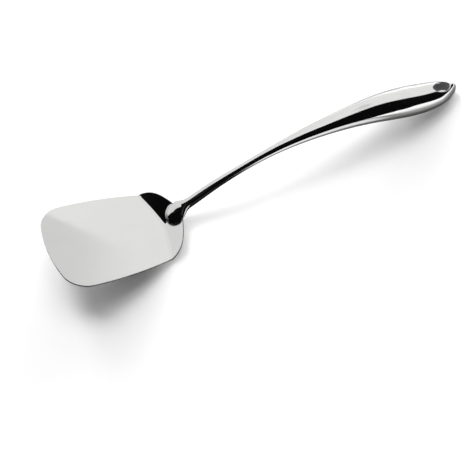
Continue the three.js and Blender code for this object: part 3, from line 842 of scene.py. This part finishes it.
def polish_group():
    """Fine polishing lines, faint smudges and a slow waviness of the face, for every steel finish."""
    found = bpy.data.node_groups.get("Polish marks")
    if found:
        return found
    tree, given, result = new_tree(
        "Polish marks",
        "ShaderNodeTree",
        [
            ("Line pitch", "NodeSocketFloat", 0.0004),
            ("Line length", "NodeSocketFloat", 0.03),
            ("Smudge size", "NodeSocketFloat", 0.02),
            ("Roughness", "NodeSocketFloat", 0.1),
            ("Smudge strength", "NodeSocketFloat", 0.03),
            ("Colour", "NodeSocketColor", (0.8, 0.8, 0.8, 1)),
        ],
        [
            ("Colour", "NodeSocketColor"),
            ("Roughness", "NodeSocketFloat"),
            ("Lines", "NodeSocketFloat"),
            ("Waves", "NodeSocketFloat"),
        ],
    )
    place = put(tree, "ShaderNodeTexCoord").outputs["Object"]
    apart = split(tree, place)
    stretched = put(
        tree,
        "ShaderNodeCombineXYZ",
        {
            "X": calc(tree, "DIVIDE", apart[0], given["Line length"]),
            "Y": calc(tree, "DIVIDE", apart[1], given["Line pitch"]),
            "Z": calc(tree, "DIVIDE", apart[2], given["Line pitch"]),
        },
    ).outputs[0]
    lines = put(tree, "ShaderNodeTexNoise", {"Vector": stretched, "Scale": 1.0, "Detail": 3.0}).outputs[0]
    wide = calc(tree, "DIVIDE", 1.0, given["Smudge size"])
    smudge = put(
        tree, "ShaderNodeTexNoise", {"Vector": place, "Scale": wide, "Detail": 4.0, "Roughness": 0.55}
    ).outputs[0]
    faintest, strongest = 0.42, 0.72
    smudged = ramp(tree, smudge, faintest, strongest)
    blur = calc(tree, "MULTIPLY_ADD", smudged, given["Smudge strength"], given["Roughness"])
    fine = calc(tree, "MULTIPLY", calc(tree, "SUBTRACT", lines, 0.5), given["Smudge strength"])
    wave_share = 0.8
    waves = {"Vector": place, "Scale": calc(tree, "MULTIPLY", wide, wave_share), "Detail": 1.0}
    waves = put(tree, "ShaderNodeTexNoise", waves).outputs[0]
    dull_share, dull_colour = 0.05, (0.55, 0.55, 0.53, 1)
    inputs = {"Factor": calc(tree, "MULTIPLY", smudged, dull_share), 6: given["Colour"], 7: dull_colour}
    dulled = put(tree, "ShaderNodeMix", inputs, data_type="RGBA").outputs[2]
    tree.links.new(dulled, result["Colour"])
    tree.links.new(calc(tree, "ADD", blur, fine), result["Roughness"])
    tree.links.new(lines, result["Lines"])
    tree.links.new(waves, result["Waves"])
    return tree


def steel(context, name):
    """One of the steel finishes, which is made once."""
    found = bpy.data.materials.get(name)
    if found:
        return found
    finish = context.scene.turner_finish
    colour, roughness, added, line_depth, wave_depth, smudge = STEELS[name]
    line_stretch = 60
    material = bpy.data.materials.new(name)
    tree = cleared(material)
    marks = put(tree, "ShaderNodeGroup", node_tree=polish_group())
    for label, value in {
        "Line pitch": finish.scratch_pitch,
        "Line length": line_stretch * finish.scratch_pitch,
        "Smudge size": finish.smudge_size,
        "Roughness": getattr(finish, roughness) + added,
        "Smudge strength": smudge,
        "Colour": (*getattr(finish, colour), 1),
    }.items():
        marks.inputs[label].default_value = value
    waves = {"Height": marks.outputs["Waves"], "Distance": wave_depth, "Strength": 1.0}
    waves = put(tree, "ShaderNodeBump", waves).outputs[0]
    lines = {"Height": marks.outputs["Lines"], "Distance": line_depth, "Strength": 1.0, "Normal": waves}
    inputs = {
        "Base Color": marks.outputs["Colour"],
        "Roughness": marks.outputs["Roughness"],
        "Metallic": 1.0,
        "Normal": put(tree, "ShaderNodeBump", lines).outputs[0],
    }
    shader = put(tree, "ShaderNodeBsdfPrincipled", inputs).outputs[0]
    tree.links.new(shader, put(tree, "ShaderNodeOutputMaterial").inputs["Surface"])
    return material


# Pieces


def blade_piece(context):
    """The sheet of blade and heel, with its edges broken all round."""
    sizes = context.scene.turner_blade
    radius = sizes.edge_rounding
    form = BladeForm(sizes, radius)
    upper, lower, normals = form.sheet(lines=72, blade_rows=30, bend_rows=14, flange_rows=12)
    lines, rows = upper.shape[:2]
    around = [(j, 0) for j in range(lines)] + [(lines - 1, i) for i in range(1, rows)]
    around += [(j, rows - 1) for j in range(lines - 2, -1, -1)] + [(0, i) for i in range(rows - 2, 0, -1)]
    around = [spot for i, spot in enumerate(around) if np.any(upper[spot] != upper[around[i - 1]])]
    at = tuple(np.array(around).T)
    path, up = upper[at], normals[at]
    spacing = np.linalg.norm(path - np.roll(path, 1, 0), axis=1)
    nearest = 1e-7
    keep = spacing > nearest
    path, up, below = path[keep], up[keep], lower[at][keep]
    out = np.cross(unit(np.roll(path, -1, 0) - np.roll(path, 1, 0)), up)
    out = unit(out * np.sign((out * (path - path.mean(0))).sum(1).mean()))
    points, directions = [upper.reshape(-1, 3), lower.reshape(-1, 3)], [normals.reshape(-1, 3)] * 2
    directions[1] = -directions[1]
    faces = grid_faces(0, lines, rows) + grid_faces(lines * rows, lines, rows, turned=True)
    start = 2 * lines * rows
    edge_rings = 6
    for angle in np.linspace(0, math.pi / 2, edge_rings):
        turned = up * math.cos(angle) + out * math.sin(angle)
        points.append(path + radius * (turned - up))
        directions.append(turned)
    for angle in np.linspace(math.pi / 2, 0, edge_rings):
        turned = -up * math.cos(angle) + out * math.sin(angle)
        points.append(below + radius * (turned + up))
        directions.append(turned)
    faces += grid_faces(start, 2 * edge_rings, len(path), closed=True)
    piece = new_piece("blade_sheet", np.concatenate(points), faces, np.concatenate(directions))
    return claim(piece, "pressed_steel", steel(context, "Blade steel"), "blade")


def rail_object(name, points, vectors):
    """The points of a rail, with the vectors that its tree reads at each."""
    mesh = bpy.data.meshes.new(name)
    mesh.from_pydata(placed(points), [], [])
    for label, values in vectors.items():
        layer = mesh.attributes.new(label, "FLOAT_VECTOR", "POINT")
        layer.data.foreach_set("vector", np.ascontiguousarray(values, np.float32).ravel())
    rail = bpy.data.objects.new(name, mesh)
    bpy.context.scene.collection.objects.link(rail)
    return rail


def sweep(context, name, places, shapes, reaches, steps, finish):
    """One swept piece of the grip: each section's form and angles at its place."""
    grip = forms(context)[1]
    tree = bpy.data.node_groups.get("Grip section sweep") or section_sweep_tree()
    centre, up = grip.spine(places)
    rail = rail_object(name, centre, {"up": up, "form": shapes, "reach": reaches})
    values = {"Section steps": steps, "Section power": grip.s.section_power}
    return run_tree(rail, tree, {**values, "Finish": steel(context, finish)})


def whole_turns(count):
    return np.tile([0.0, 2 * math.pi, 0.0], (count, 1))


def rounded_places(inside, end, count):
    """Places that crowd towards an end whose form is rounded."""
    return inside + (end - inside) * np.sin(np.linspace(0, math.pi / 2, count + 1)[1:])


def shell_places(grip):
    s = grip.s
    inside = s.span - s.end_rounding
    straight_rings, end_rings = 110, 44
    straight = np.linspace(s.neck_end + s.neck_weld, inside, straight_rings)
    return np.concatenate([straight, rounded_places(inside, s.span, end_rings)])


def neck_piece(context):
    """The solid neck, from its foot on the heel to its plug in the handle."""
    grip = forms(context)[1]
    s = grip.s
    inside, rooted = s.foot_nose + s.foot_nose_rounding, grip.root + s.foot_root_length
    nose_rings, foot_rings, rod_rings = 26, 44, 70
    nose = rounded_places(inside, s.foot_nose, nose_rings)[::-1]
    foot, rod = np.linspace(inside, rooted, foot_rings), np.linspace(rooted, s.neck_end, rod_rings)
    places = np.concatenate([nose, foot, rod[1:]])
    shapes = grip.form(places)
    plug = grip.form(s.neck_end, s.wall + s.joint_gap)
    plug_end = s.neck_end + s.plug_length
    places = np.append(places, [s.neck_end, plug_end, plug_end])
    shapes = np.concatenate([shapes, [plug, plug, 0 * plug]])
    piece = sweep(context, "neck_rod", places, shapes, whole_turns(len(places)), SECTION_STEPS, "Grip steel")
    face_out(piece)
    shade_by_grip(piece, grip)
    return claim(piece, "polished_steel", steel(context, "Grip steel"), "neck")


def face_out(piece):
    if volume_of(piece.data) < 0:
        piece.data.flip_normals()


def neck_weld_piece(context):
    """The ring of weld between neck and handle, ground flush."""
    grip = forms(context)[1]
    s = grip.s
    places = [s.neck_end, s.neck_end + s.neck_weld]
    outer = grip.form(np.array(places))
    inner = grip.form(s.neck_end, s.wall)
    places = [places[0], places[1], places[1], places[0], places[0]]
    shapes = np.array([outer[0], outer[1], inner, inner, outer[0]])
    piece = sweep(context, "neck_weld_ring", places, shapes, whole_turns(5), SECTION_STEPS, "Ground weld")
    face_out(piece)
    shade_by_grip(piece, grip)
    return claim(piece, "weld_steel", steel(context, "Ground weld"), "neck_weld")


def thickened(piece, wall):
    """The face with a wall on its inner side."""
    face_out_from_spine(piece)
    solid = piece.modifiers.new("Wall", "SOLIDIFY")
    solid.thickness = wall
    solid.offset = -1
    return piece


def face_out_from_spine(piece):
    """Turns an open face so that it faces away from the turner's lengthwise axis."""
    mesh = piece.data
    normals = np.empty(len(mesh.polygons) * 3)
    centres = np.empty(len(mesh.polygons) * 3)
    mesh.polygons.foreach_get("normal", normals)
    mesh.polygons.foreach_get("center", centres)
    grip = forms(bpy.context)[1]
    centres = centres.reshape(-1, 3) - placed(np.zeros(3))
    spine = grip.spine(grip.place_of(centres))[0]
    if (normals.reshape(-1, 3) * (centres - spine)).sum() < 0:
        mesh.flip_normals()


def eye_bar(eye, margin):
    """A closed oval bar along the eye's axis, which cuts the openings in the shells."""
    turns = np.linspace(0, 2 * math.pi, SECTION_STEPS + 1)[:-1]
    reach = 2 * eye.grip.s.depth
    loops = [eye.point(turns, margin, np.full_like(turns, height)) for height in (-reach, reach)]
    points = np.concatenate(loops)
    faces = grid_faces(0, 2, len(turns), closed=True)
    faces += [list(range(len(turns))), list(range(2 * len(turns) - 1, len(turns) - 1, -1))]
    return new_piece("eye_bar", points, faces)


def shell_piece(context, side):
    """One pressed half of the handle, upper for 1 and lower for -1, pierced for the eye."""
    _, grip, eye = forms(context)
    places = shell_places(grip)
    shapes = grip.form(places)
    depth = shapes[:, 1] if side > 0 else shapes[:, 2]
    edge = grip.edge_angle(depth)
    reaches = np.stack([side * edge, side * (math.pi - edge), 0 * edge], -1)
    name, node = ("upper_shell", "handle_upper_shell") if side > 0 else ("lower_shell", "handle_lower_shell")
    piece = sweep(context, name, places, shapes, reaches, SHELL_STEPS, "Grip steel")
    thickened(piece, grip.s.wall)
    cutter = eye_bar(eye, eye.weld_outside)
    cut = piece.modifiers.new("Eye opening", "BOOLEAN")
    cut.object = cutter
    cut.operation = "DIFFERENCE"
    cut.solver = "EXACT"
    applied(piece)
    bpy.data.objects.remove(cutter)
    shade_by_grip(piece, grip)
    return claim(piece, "polished_steel", steel(context, "Grip steel"), node)


def seam_weld_piece(context, side):
    """The weld along one edge of the shells, left for 1 and right for -1, ground flush."""
    grip = forms(context)[1]
    places = shell_places(grip)
    shapes = grip.form(places)
    over, under = grip.edge_angle(shapes[:, 1]), grip.edge_angle(shapes[:, 2])
    low, high = (-under, over) if side > 0 else (math.pi - over, math.pi + under)
    reaches = np.stack([low, high, 0 * low], -1)
    name, node = ("seam_left", "seam_weld_left") if side > 0 else ("seam_right", "seam_weld_right")
    piece = sweep(context, name, places, shapes, reaches, SEAM_STEPS, "Ground weld")
    applied(thickened(piece, grip.s.wall))
    shade_by_grip(piece, grip)
    return claim(piece, "weld_steel", steel(context, "Ground weld"), node)


def ring_piece(name, eye, loop_at):
    """The ring that a loop of (margin, height) places sweeps round the eye."""
    turns = np.linspace(0, 2 * math.pi, EYE_STEPS + 1)[:-1]
    loops = [eye.point(turns, margin, height) for margin, height in loop_at(turns)]
    points = np.stack(loops + loops[:1])
    rows, columns = points.shape[:2]
    return new_piece(name, points.reshape(-1, 3), grid_faces(0, rows, columns, closed=True))


def hanging_eye_piece(context):
    """The sleeve of the hanging eye, with lips rounded over into its bore."""
    eye = forms(context)[2]
    lip_rings = 13

    def loop_at(turns):
        def lip(side):
            top = eye.face_height(turns, eye.s.lip, side)
            return [
                (eye.s.lip * (1 - math.sin(a)), top - side * eye.s.lip * (1 - math.cos(a)))
                for a in np.linspace(0, math.pi / 2, lip_rings)
            ]

        rims = [(eye.s.wall, eye.face_height(turns, eye.s.wall, side)) for side in (1, -1)]
        return [rims[0], *lip(1), *lip(-1)[::-1], rims[1]]

    piece = ring_piece("eye_sleeve", eye, loop_at)
    piece.data.set_sharp_from_angle(angle=math.radians(50))
    return claim(piece, "polished_steel", steel(context, "Grip steel"), "hanging_eye")


def eye_weld_piece(context, side):
    """The weld round the sleeve in one shell, upper for 1 and lower for -1, ground flush."""
    _, grip, eye = forms(context)
    weld_rings = 7

    def loop_at(turns):
        margins = np.linspace(eye.weld_inside, eye.weld_outside, weld_rings)
        outer = [(m, eye.face_height(turns, m, side)) for m in margins]
        inner = [(m, h - side * grip.s.wall) for m, h in (outer[-1], outer[0])]
        return outer + inner

    name, node = ("eye_ring_upper", "eye_weld_upper") if side > 0 else ("eye_ring_lower", "eye_weld_lower")
    piece = ring_piece(name, eye, loop_at)
    shade_by_grip(piece, grip)
    return claim(piece, "weld_steel", steel(context, "Ground weld"), node)


def foot_weld_piece(context):
    """The fillet of weld round the foot, from the heel's face up the foot's side."""
    blade, grip, _ = forms(context)
    s, weld = grip.s, context.scene.turner_weld
    inside = s.foot_nose + s.foot_nose_rounding
    end = s.foot_flare_start - weld.fillet_reach
    rings = 40
    nose = rounded_places(inside, s.foot_nose, rings)[::-1]
    places = np.concatenate([nose, np.linspace(inside, end, rings)[1:]])
    shape = grip.form(places)

    def line(angle):
        """The line round the foot where its sections stand at an angle above their sides."""
        sides = [grip.section(places, shape, np.full_like(places, a)) for a in (angle, math.pi - angle)]
        return np.concatenate([sides[0][::-1], sides[1][1:]])

    def on_heel(points, lift):
        height = blade.flange_top(points[:, 0], points[:, 1]) + lift
        return np.column_stack([points[:, :2], height])

    edge, top = line(0.0), line(weld.fillet_climb)
    before, after = np.roll(edge, 1, 0), np.roll(edge, -1, 0)
    before[0], after[-1] = edge[0], edge[-1]
    out = unit(np.stack([(after - before)[:, 1], -(after - before)[:, 0], 0 * before[:, 0]], -1))
    along = np.concatenate([[0], np.cumsum(np.linalg.norm(np.diff(edge, axis=0), axis=1))])
    size = rounding(np.minimum(along, along[-1] - along), 2 * weld.fillet_reach)[:, None]
    root = on_heel(edge + out * s.joint_gap, s.joint_gap / 4)
    toe = on_heel(edge + out * (s.joint_gap + weld.fillet_reach * size), 0)
    top = mix(root, top, size)
    vectors = {"toe": placed(toe), "top": placed(top), "root": placed(root)}
    vectors["inside"] = placed(on_heel(edge - out * s.joint_gap, s.joint_gap / 8))
    vectors["along"] = np.column_stack([along, 0 * along, 0 * along])
    vectors["out"] = out + np.array([0, 0, 1])
    rail = rail_object("foot_fillet", root, vectors)
    tree = bpy.data.node_groups.get("Weld fillet") or weld_fillet_tree()
    values = {"Steps": 40, "Ripple pitch": weld.ripple_pitch, "Ripple depth": weld.ripple_depth}
    values.update({"Unevenness": weld.unevenness, "Seed": weld.seed})
    piece = run_tree(rail, tree, {**values, "Finish": steel(context, "Weld bead steel")})
    face_out(piece)
    return claim(piece, "weld_steel", steel(context, "Weld bead steel"), "foot_weld")


# Stage


def set_camera(context):
    stage = context.scene.turner_stage
    az, el = stage.azimuth, stage.elevation
    back = Vector((math.sin(az) * math.cos(el), -math.cos(az) * math.cos(el), math.sin(el)))
    look = -back
    right = look.cross(Vector((0, 0, 1))).normalized()
    up = right.cross(look)
    c, s = math.cos(stage.roll), math.sin(stage.roll)
    right, up = right * c + up * s, up * c - right * s
    camera = bpy.data.objects.new("camera", bpy.data.cameras.new("camera"))
    camera.data.lens = stage.lens
    camera.data.sensor_width = 36
    camera.data.clip_end = 20
    place = Matrix((right, up, back)).transposed().to_4x4()
    place.translation = Vector(stage.target) + back * stage.distance
    camera.matrix_world = place
    context.scene.collection.objects.link(camera)
    context.scene.camera = camera


def first_sight(tree, ray):
    """1 for what is seen or mirrored, 0 for what the steel would throw back onto the table."""
    return calc(tree, "SUBTRACT", 1.0, ray["Diffuse Depth"], clamp=True)


def plain_sight(tree, ray):
    """1 for what the camera sees, straight or through glass."""
    return calc(tree, "MAXIMUM", ray["Is Camera Ray"], ray["Is Transmission Ray"])


def mirrored_table_with_painted_shade(tree, behind):
    """How bright the table is in the steel, as painted shade on its colour: dark before the turner, but for
    a strip before its neck.
    """
    # Painted shade: in the steel the table is nearly black before the blade, light before the neck and
    # dimmer before the grip
    before_blade, before_neck, before_grip = 0.02, 0.9, 0.32
    nearby_most, nearby_share = 0.3, 0.6
    place = split(tree, put(tree, "ShaderNodeTexCoord").outputs["Object"])
    strip = ramp(tree, place[0], -0.012, 0.012, before_blade, before_neck)
    far = blend(tree, ramp(tree, place[0], 0.098, 0.118), strip, before_grip)
    # Painted shade: close before the turner, the table in the steel is darker still
    near = calc(tree, "MULTIPLY", calc(tree, "MINIMUM", far, nearby_most), nearby_share)
    before = blend(tree, ramp(tree, place[1], -0.024, -0.036), near, far)
    return blend(tree, ramp(tree, place[1], 0.014, 0.004), behind, before)


def table_material(context):
    """A pale table that shows white round the turner's soft shadow, and whose colour is painted darker where
    the steel mirrors it.
    """
    stage = context.scene.turner_stage
    material = bpy.data.materials.new("White table")
    tree = cleared(material)
    ray = put(tree, "ShaderNodeLightPath").outputs
    # Painted shade: in the steel the table's colour is darker, and it is black in light that the steel
    # throws back, which keeps the shadow under the blade deep
    mirrored = calc(tree, "MULTIPLY", first_sight(tree, ray), mirrored_table_with_painted_shade(tree, stage.mirrored_table_with_painted_shade))
    shown = blend(tree, plain_sight(tree, ray), 1.0, stage.table_white)
    colour = scaled(tree, stage.table, blend(tree, ray["Is Glossy Ray"], shown, mirrored))
    body = put(tree, "ShaderNodeBsdfDiffuse", {"Color": colour}).outputs[0]
    tree.links.new(body, put(tree, "ShaderNodeOutputMaterial").inputs["Surface"])
    return material


def set_table(context):
    """A flat table, a hair below the turner."""
    half, drop = context.scene.turner_stage.table_size / 2, 0.0001
    mesh = bpy.data.meshes.new("table")
    corners = [(-half, -half, 0), (half, -half, 0), (half, half, 0), (-half, half, 0)]
    mesh.from_pydata(corners, [], [(0, 1, 2, 3)])
    table = bpy.data.objects.new("table", mesh)
    context.scene.collection.objects.link(table)
    mesh.materials.append(table_material(context))
    table.location.z = -drop


def room_light(tree, turn, height):
    """What lights the table: a tall narrow window behind the turner, and a long low one beside it."""
    lights = []
    for middle, width, level, spread, strength in WINDOWS:
        shape = calc(tree, "MULTIPLY", bell(tree, turn, middle, width), bell(tree, height, level, spread))
        lights.append(calc(tree, "MULTIPLY", shape, strength))
    return calc(tree, "ADD", *lights)


def under_panel_tops(tree, turn, height):
    """How many degrees a direction lies under the upper edge of the panels."""
    top = put(tree, "ShaderNodeFloatCurve", {"Value": calc(tree, "MULTIPLY_ADD", turn, 1 / 360, 0.5)})
    points = top.mapping.curves[0].points
    lowest, span = -20.0, 110.0
    for i, (place, level) in enumerate(PANEL_TOPS):
        spot = (place / 360 + 0.5, (level - lowest) / span)
        if i < 2:
            points[i].location = spot
        else:
            points.new(*spot)
    for point in points:
        point.handle_type = "VECTOR"
    top.mapping.update()
    return calc(tree, "SUBTRACT", calc(tree, "MULTIPLY_ADD", top.outputs[0], span, lowest), height)


def back_panel(tree, turn, height, under):
    """The panel behind the turner: whiter to its right and along its top, with a soft grey part right
    of its middle, for the darker grey of the blade."""
    level = ramp(tree, turn, -45.0, 45.0, 0.74, 0.88)
    seam_height, seam_lean = 38.4, -0.6
    grey_start, grey_end, grey_depth = 34.5, 40.0, 0.19
    over = calc(tree, "SUBTRACT", height, seam_height)
    along = calc(tree, "MULTIPLY_ADD", over, seam_lean, turn)
    blur = ramp(tree, turn, grey_start, grey_end, 0.06, 0.3)
    seam = {"Value": calc(tree, "DIVIDE", over, blur), "From Min": -1.0}
    seam = put(tree, "ShaderNodeMapRange", seam).outputs[0]
    drop = ramp(tree, along, grey_start, grey_end, grey_depth, 0.0)
    drop = calc(tree, "MULTIPLY", drop, ramp(tree, turn, 28.0, 33.0))
    drop = calc(tree, "MULTIPLY", calc(tree, "MULTIPLY", drop, seam), ramp(tree, height, 56.0, 44.0))
    drop = calc(tree, "ADD", drop, ramp(tree, turn, 35.4, 37.4, 0.0, 0.025))
    level = calc(tree, "MULTIPLY", level, calc(tree, "SUBTRACT", 1.0, drop))
    return calc(tree, "ADD", level, ramp(tree, under, 7.0, 0.0, 0.0, 0.2))


def mirrored_room(tree, turn, height):
    """What the steel mirrors: white panels behind and beside the turner, with black over them, and one
    dim panel high on the blade's side."""
    under = under_panel_tops(tree, turn, height)
    beside = ramp(tree, under, 34.0, 3.0, 0.28, 1.15)
    level = blend(tree, ramp(tree, turn, 56.0, 62.0), back_panel(tree, turn, height, under), beside)
    dim, black, softness = 0.05, 0.003, 0.6
    high = calc(tree, "MULTIPLY", bell(tree, turn, -88.0, 24.0), bell(tree, height, 60.0, 9.0))
    dark = calc(tree, "MULTIPLY_ADD", high, dim, black)
    return blend(tree, ramp(tree, under, -softness, softness), dark, level)


def set_surroundings(context):
    """The room round the turner. The camera sees it white, the table is lit by its windows, and the
    steel mirrors its panels."""
    world = bpy.data.worlds.new("studio")
    context.scene.world = world
    tree = cleared(world)
    way = split(tree, put(tree, "ShaderNodeTexCoord").outputs["Generated"])
    turn = calc(tree, "MULTIPLY", calc(tree, "ARCTAN2", way[0], way[1]), 180 / math.pi)
    height = calc(tree, "MULTIPLY", calc(tree, "ARCSINE", way[2]), 180 / math.pi)
    ray = put(tree, "ShaderNodeLightPath").outputs
    # The steel throws none of the windows' light back onto the table
    direct = calc(tree, "MAXIMUM", first_sight(tree, ray), ray["Is Diffuse Ray"])
    lit = calc(tree, "MULTIPLY", room_light(tree, turn, height), context.scene.turner_stage.light_level)
    lit = calc(tree, "MULTIPLY", lit, direct)
    seen = blend(tree, plain_sight(tree, ray), lit, 1.0)
    # What is mirrored twice is dimmed left of the turner
    twice = calc(tree, "SUBTRACT", ray["Glossy Depth"], 1.0, clamp=True)
    dimmed = calc(tree, "MULTIPLY", twice, ramp(tree, turn, -37.0, -39.5, 0.0, 0.97))
    mirrored = calc(tree, "MULTIPLY", first_sight(tree, ray), calc(tree, "SUBTRACT", 1.0, dimmed))
    mirrored = calc(tree, "MULTIPLY", mirrored, mirrored_room(tree, turn, height))
    strength = blend(tree, ray["Is Glossy Ray"], seen, mirrored)
    sky = put(tree, "ShaderNodeBackground", {"Color": (1, 1, 1, 1), "Strength": strength}).outputs[0]
    tree.links.new(sky, put(tree, "ShaderNodeOutputWorld").inputs["Surface"])


def set_light(context, name, azimuth, elevation, energy, angle):
    """A soft lamp, which casts the turner's shadow on the table and isn't mirrored."""
    data = bpy.data.lights.new(name, "SUN")
    data.energy = energy * context.scene.turner_stage.light_level
    data.angle = angle
    light = bpy.data.objects.new(name, data)
    az, el = math.radians(azimuth), math.radians(elevation)
    towards = Vector((math.sin(az) * math.cos(el), math.cos(az) * math.cos(el), math.sin(el)))
    light.rotation_euler = towards.to_track_quat("Z", "Y").to_euler()
    light.visible_glossy = False
    light.visible_camera = False
    context.scene.collection.objects.link(light)


# Operators


class OBJECT_OT_turner_blade(bpy.types.Operator):
    """Makes the blade and its heel"""

    bl_idname = "object.turner_blade"
    bl_label = "Blade"
    bl_options = {"REGISTER", "UNDO"}

    def execute(self, context):
        blade_piece(context)
        return {"FINISHED"}


class OBJECT_OT_turner_neck(bpy.types.Operator):
    """Makes the neck and the ring of weld at its end"""

    bl_idname = "object.turner_neck"
    bl_label = "Neck"
    bl_options = {"REGISTER", "UNDO"}

    def execute(self, context):
        neck_piece(context)
        neck_weld_piece(context)
        return {"FINISHED"}


class OBJECT_OT_turner_handle(bpy.types.Operator):
    """Makes the handle's two shells and the welds along their edges"""

    bl_idname = "object.turner_handle"
    bl_label = "Handle"
    bl_options = {"REGISTER", "UNDO"}

    def execute(self, context):
        for side in (1, -1):
            shell_piece(context, side)
            seam_weld_piece(context, side)
        return {"FINISHED"}


class OBJECT_OT_turner_eye(bpy.types.Operator):
    """Makes the hanging eye and the welds round it"""

    bl_idname = "object.turner_eye"
    bl_label = "Hanging Eye"
    bl_options = {"REGISTER", "UNDO"}

    def execute(self, context):
        hanging_eye_piece(context)
        for side in (1, -1):
            eye_weld_piece(context, side)
        return {"FINISHED"}


class OBJECT_OT_turner_foot_weld(bpy.types.Operator):
    """Makes the bead of weld round the foot of the neck"""

    bl_idname = "object.turner_foot_weld"
    bl_label = "Foot Weld"
    bl_options = {"REGISTER", "UNDO"}

    def execute(self, context):
        foot_weld_piece(context)
        return {"FINISHED"}


class SCENE_OT_turner_stage(bpy.types.Operator):
    """Sets the camera, the white table, the surroundings and the lamps"""

    bl_idname = "scene.turner_stage"
    bl_label = "Stage"
    bl_options = {"REGISTER", "UNDO"}

    def execute(self, context):
        context.scene.view_settings.view_transform = "Standard"
        set_camera(context)
        set_table(context)
        set_surroundings(context)
        for name, numbers in LAMPS.items():
            set_light(context, name, *numbers)
        return {"FINISHED"}


OPERATORS = (
    SCENE_OT_turner_stage,
    OBJECT_OT_turner_blade,
    OBJECT_OT_turner_neck,
    OBJECT_OT_turner_handle,
    OBJECT_OT_turner_eye,
    OBJECT_OT_turner_foot_weld,
)


class VIEW3D_PT_turner(bpy.types.Panel):
    """Lists the turner's pieces and their sizes"""

    bl_label = "Turner"
    bl_idname = "VIEW3D_PT_turner"
    bl_space_type = "VIEW_3D"
    bl_region_type = "UI"
    bl_category = "Turner"

    def draw(self, context):
        for operator in OPERATORS:
            self.layout.operator(operator.bl_idname)
        for name, group in GROUPS.items():
            box = self.layout.box()
            for label in group.__annotations__:
                box.prop(getattr(context.scene, name), label)


def register():
    for group in GROUPS.values():
        bpy.utils.register_class(group)
    for name, group in GROUPS.items():
        setattr(bpy.types.Scene, name, bpy.props.PointerProperty(type=group))
    for operator in OPERATORS:
        bpy.utils.register_class(operator)
    bpy.utils.register_class(VIEW3D_PT_turner)


def unregister():
    bpy.utils.unregister_class(VIEW3D_PT_turner)
    for operator in reversed(OPERATORS):
        bpy.utils.unregister_class(operator)
    for name, group in GROUPS.items():
        delattr(bpy.types.Scene, name)
        bpy.utils.unregister_class(group)


def main():
    register()
    bpy.ops.scene.turner_stage()
    bpy.ops.object.turner_blade()
    bpy.ops.object.turner_neck()
    bpy.ops.object.turner_handle()
    bpy.ops.object.turner_eye()
    bpy.ops.object.turner_foot_weld()


if __name__ == "__main__":
    main()
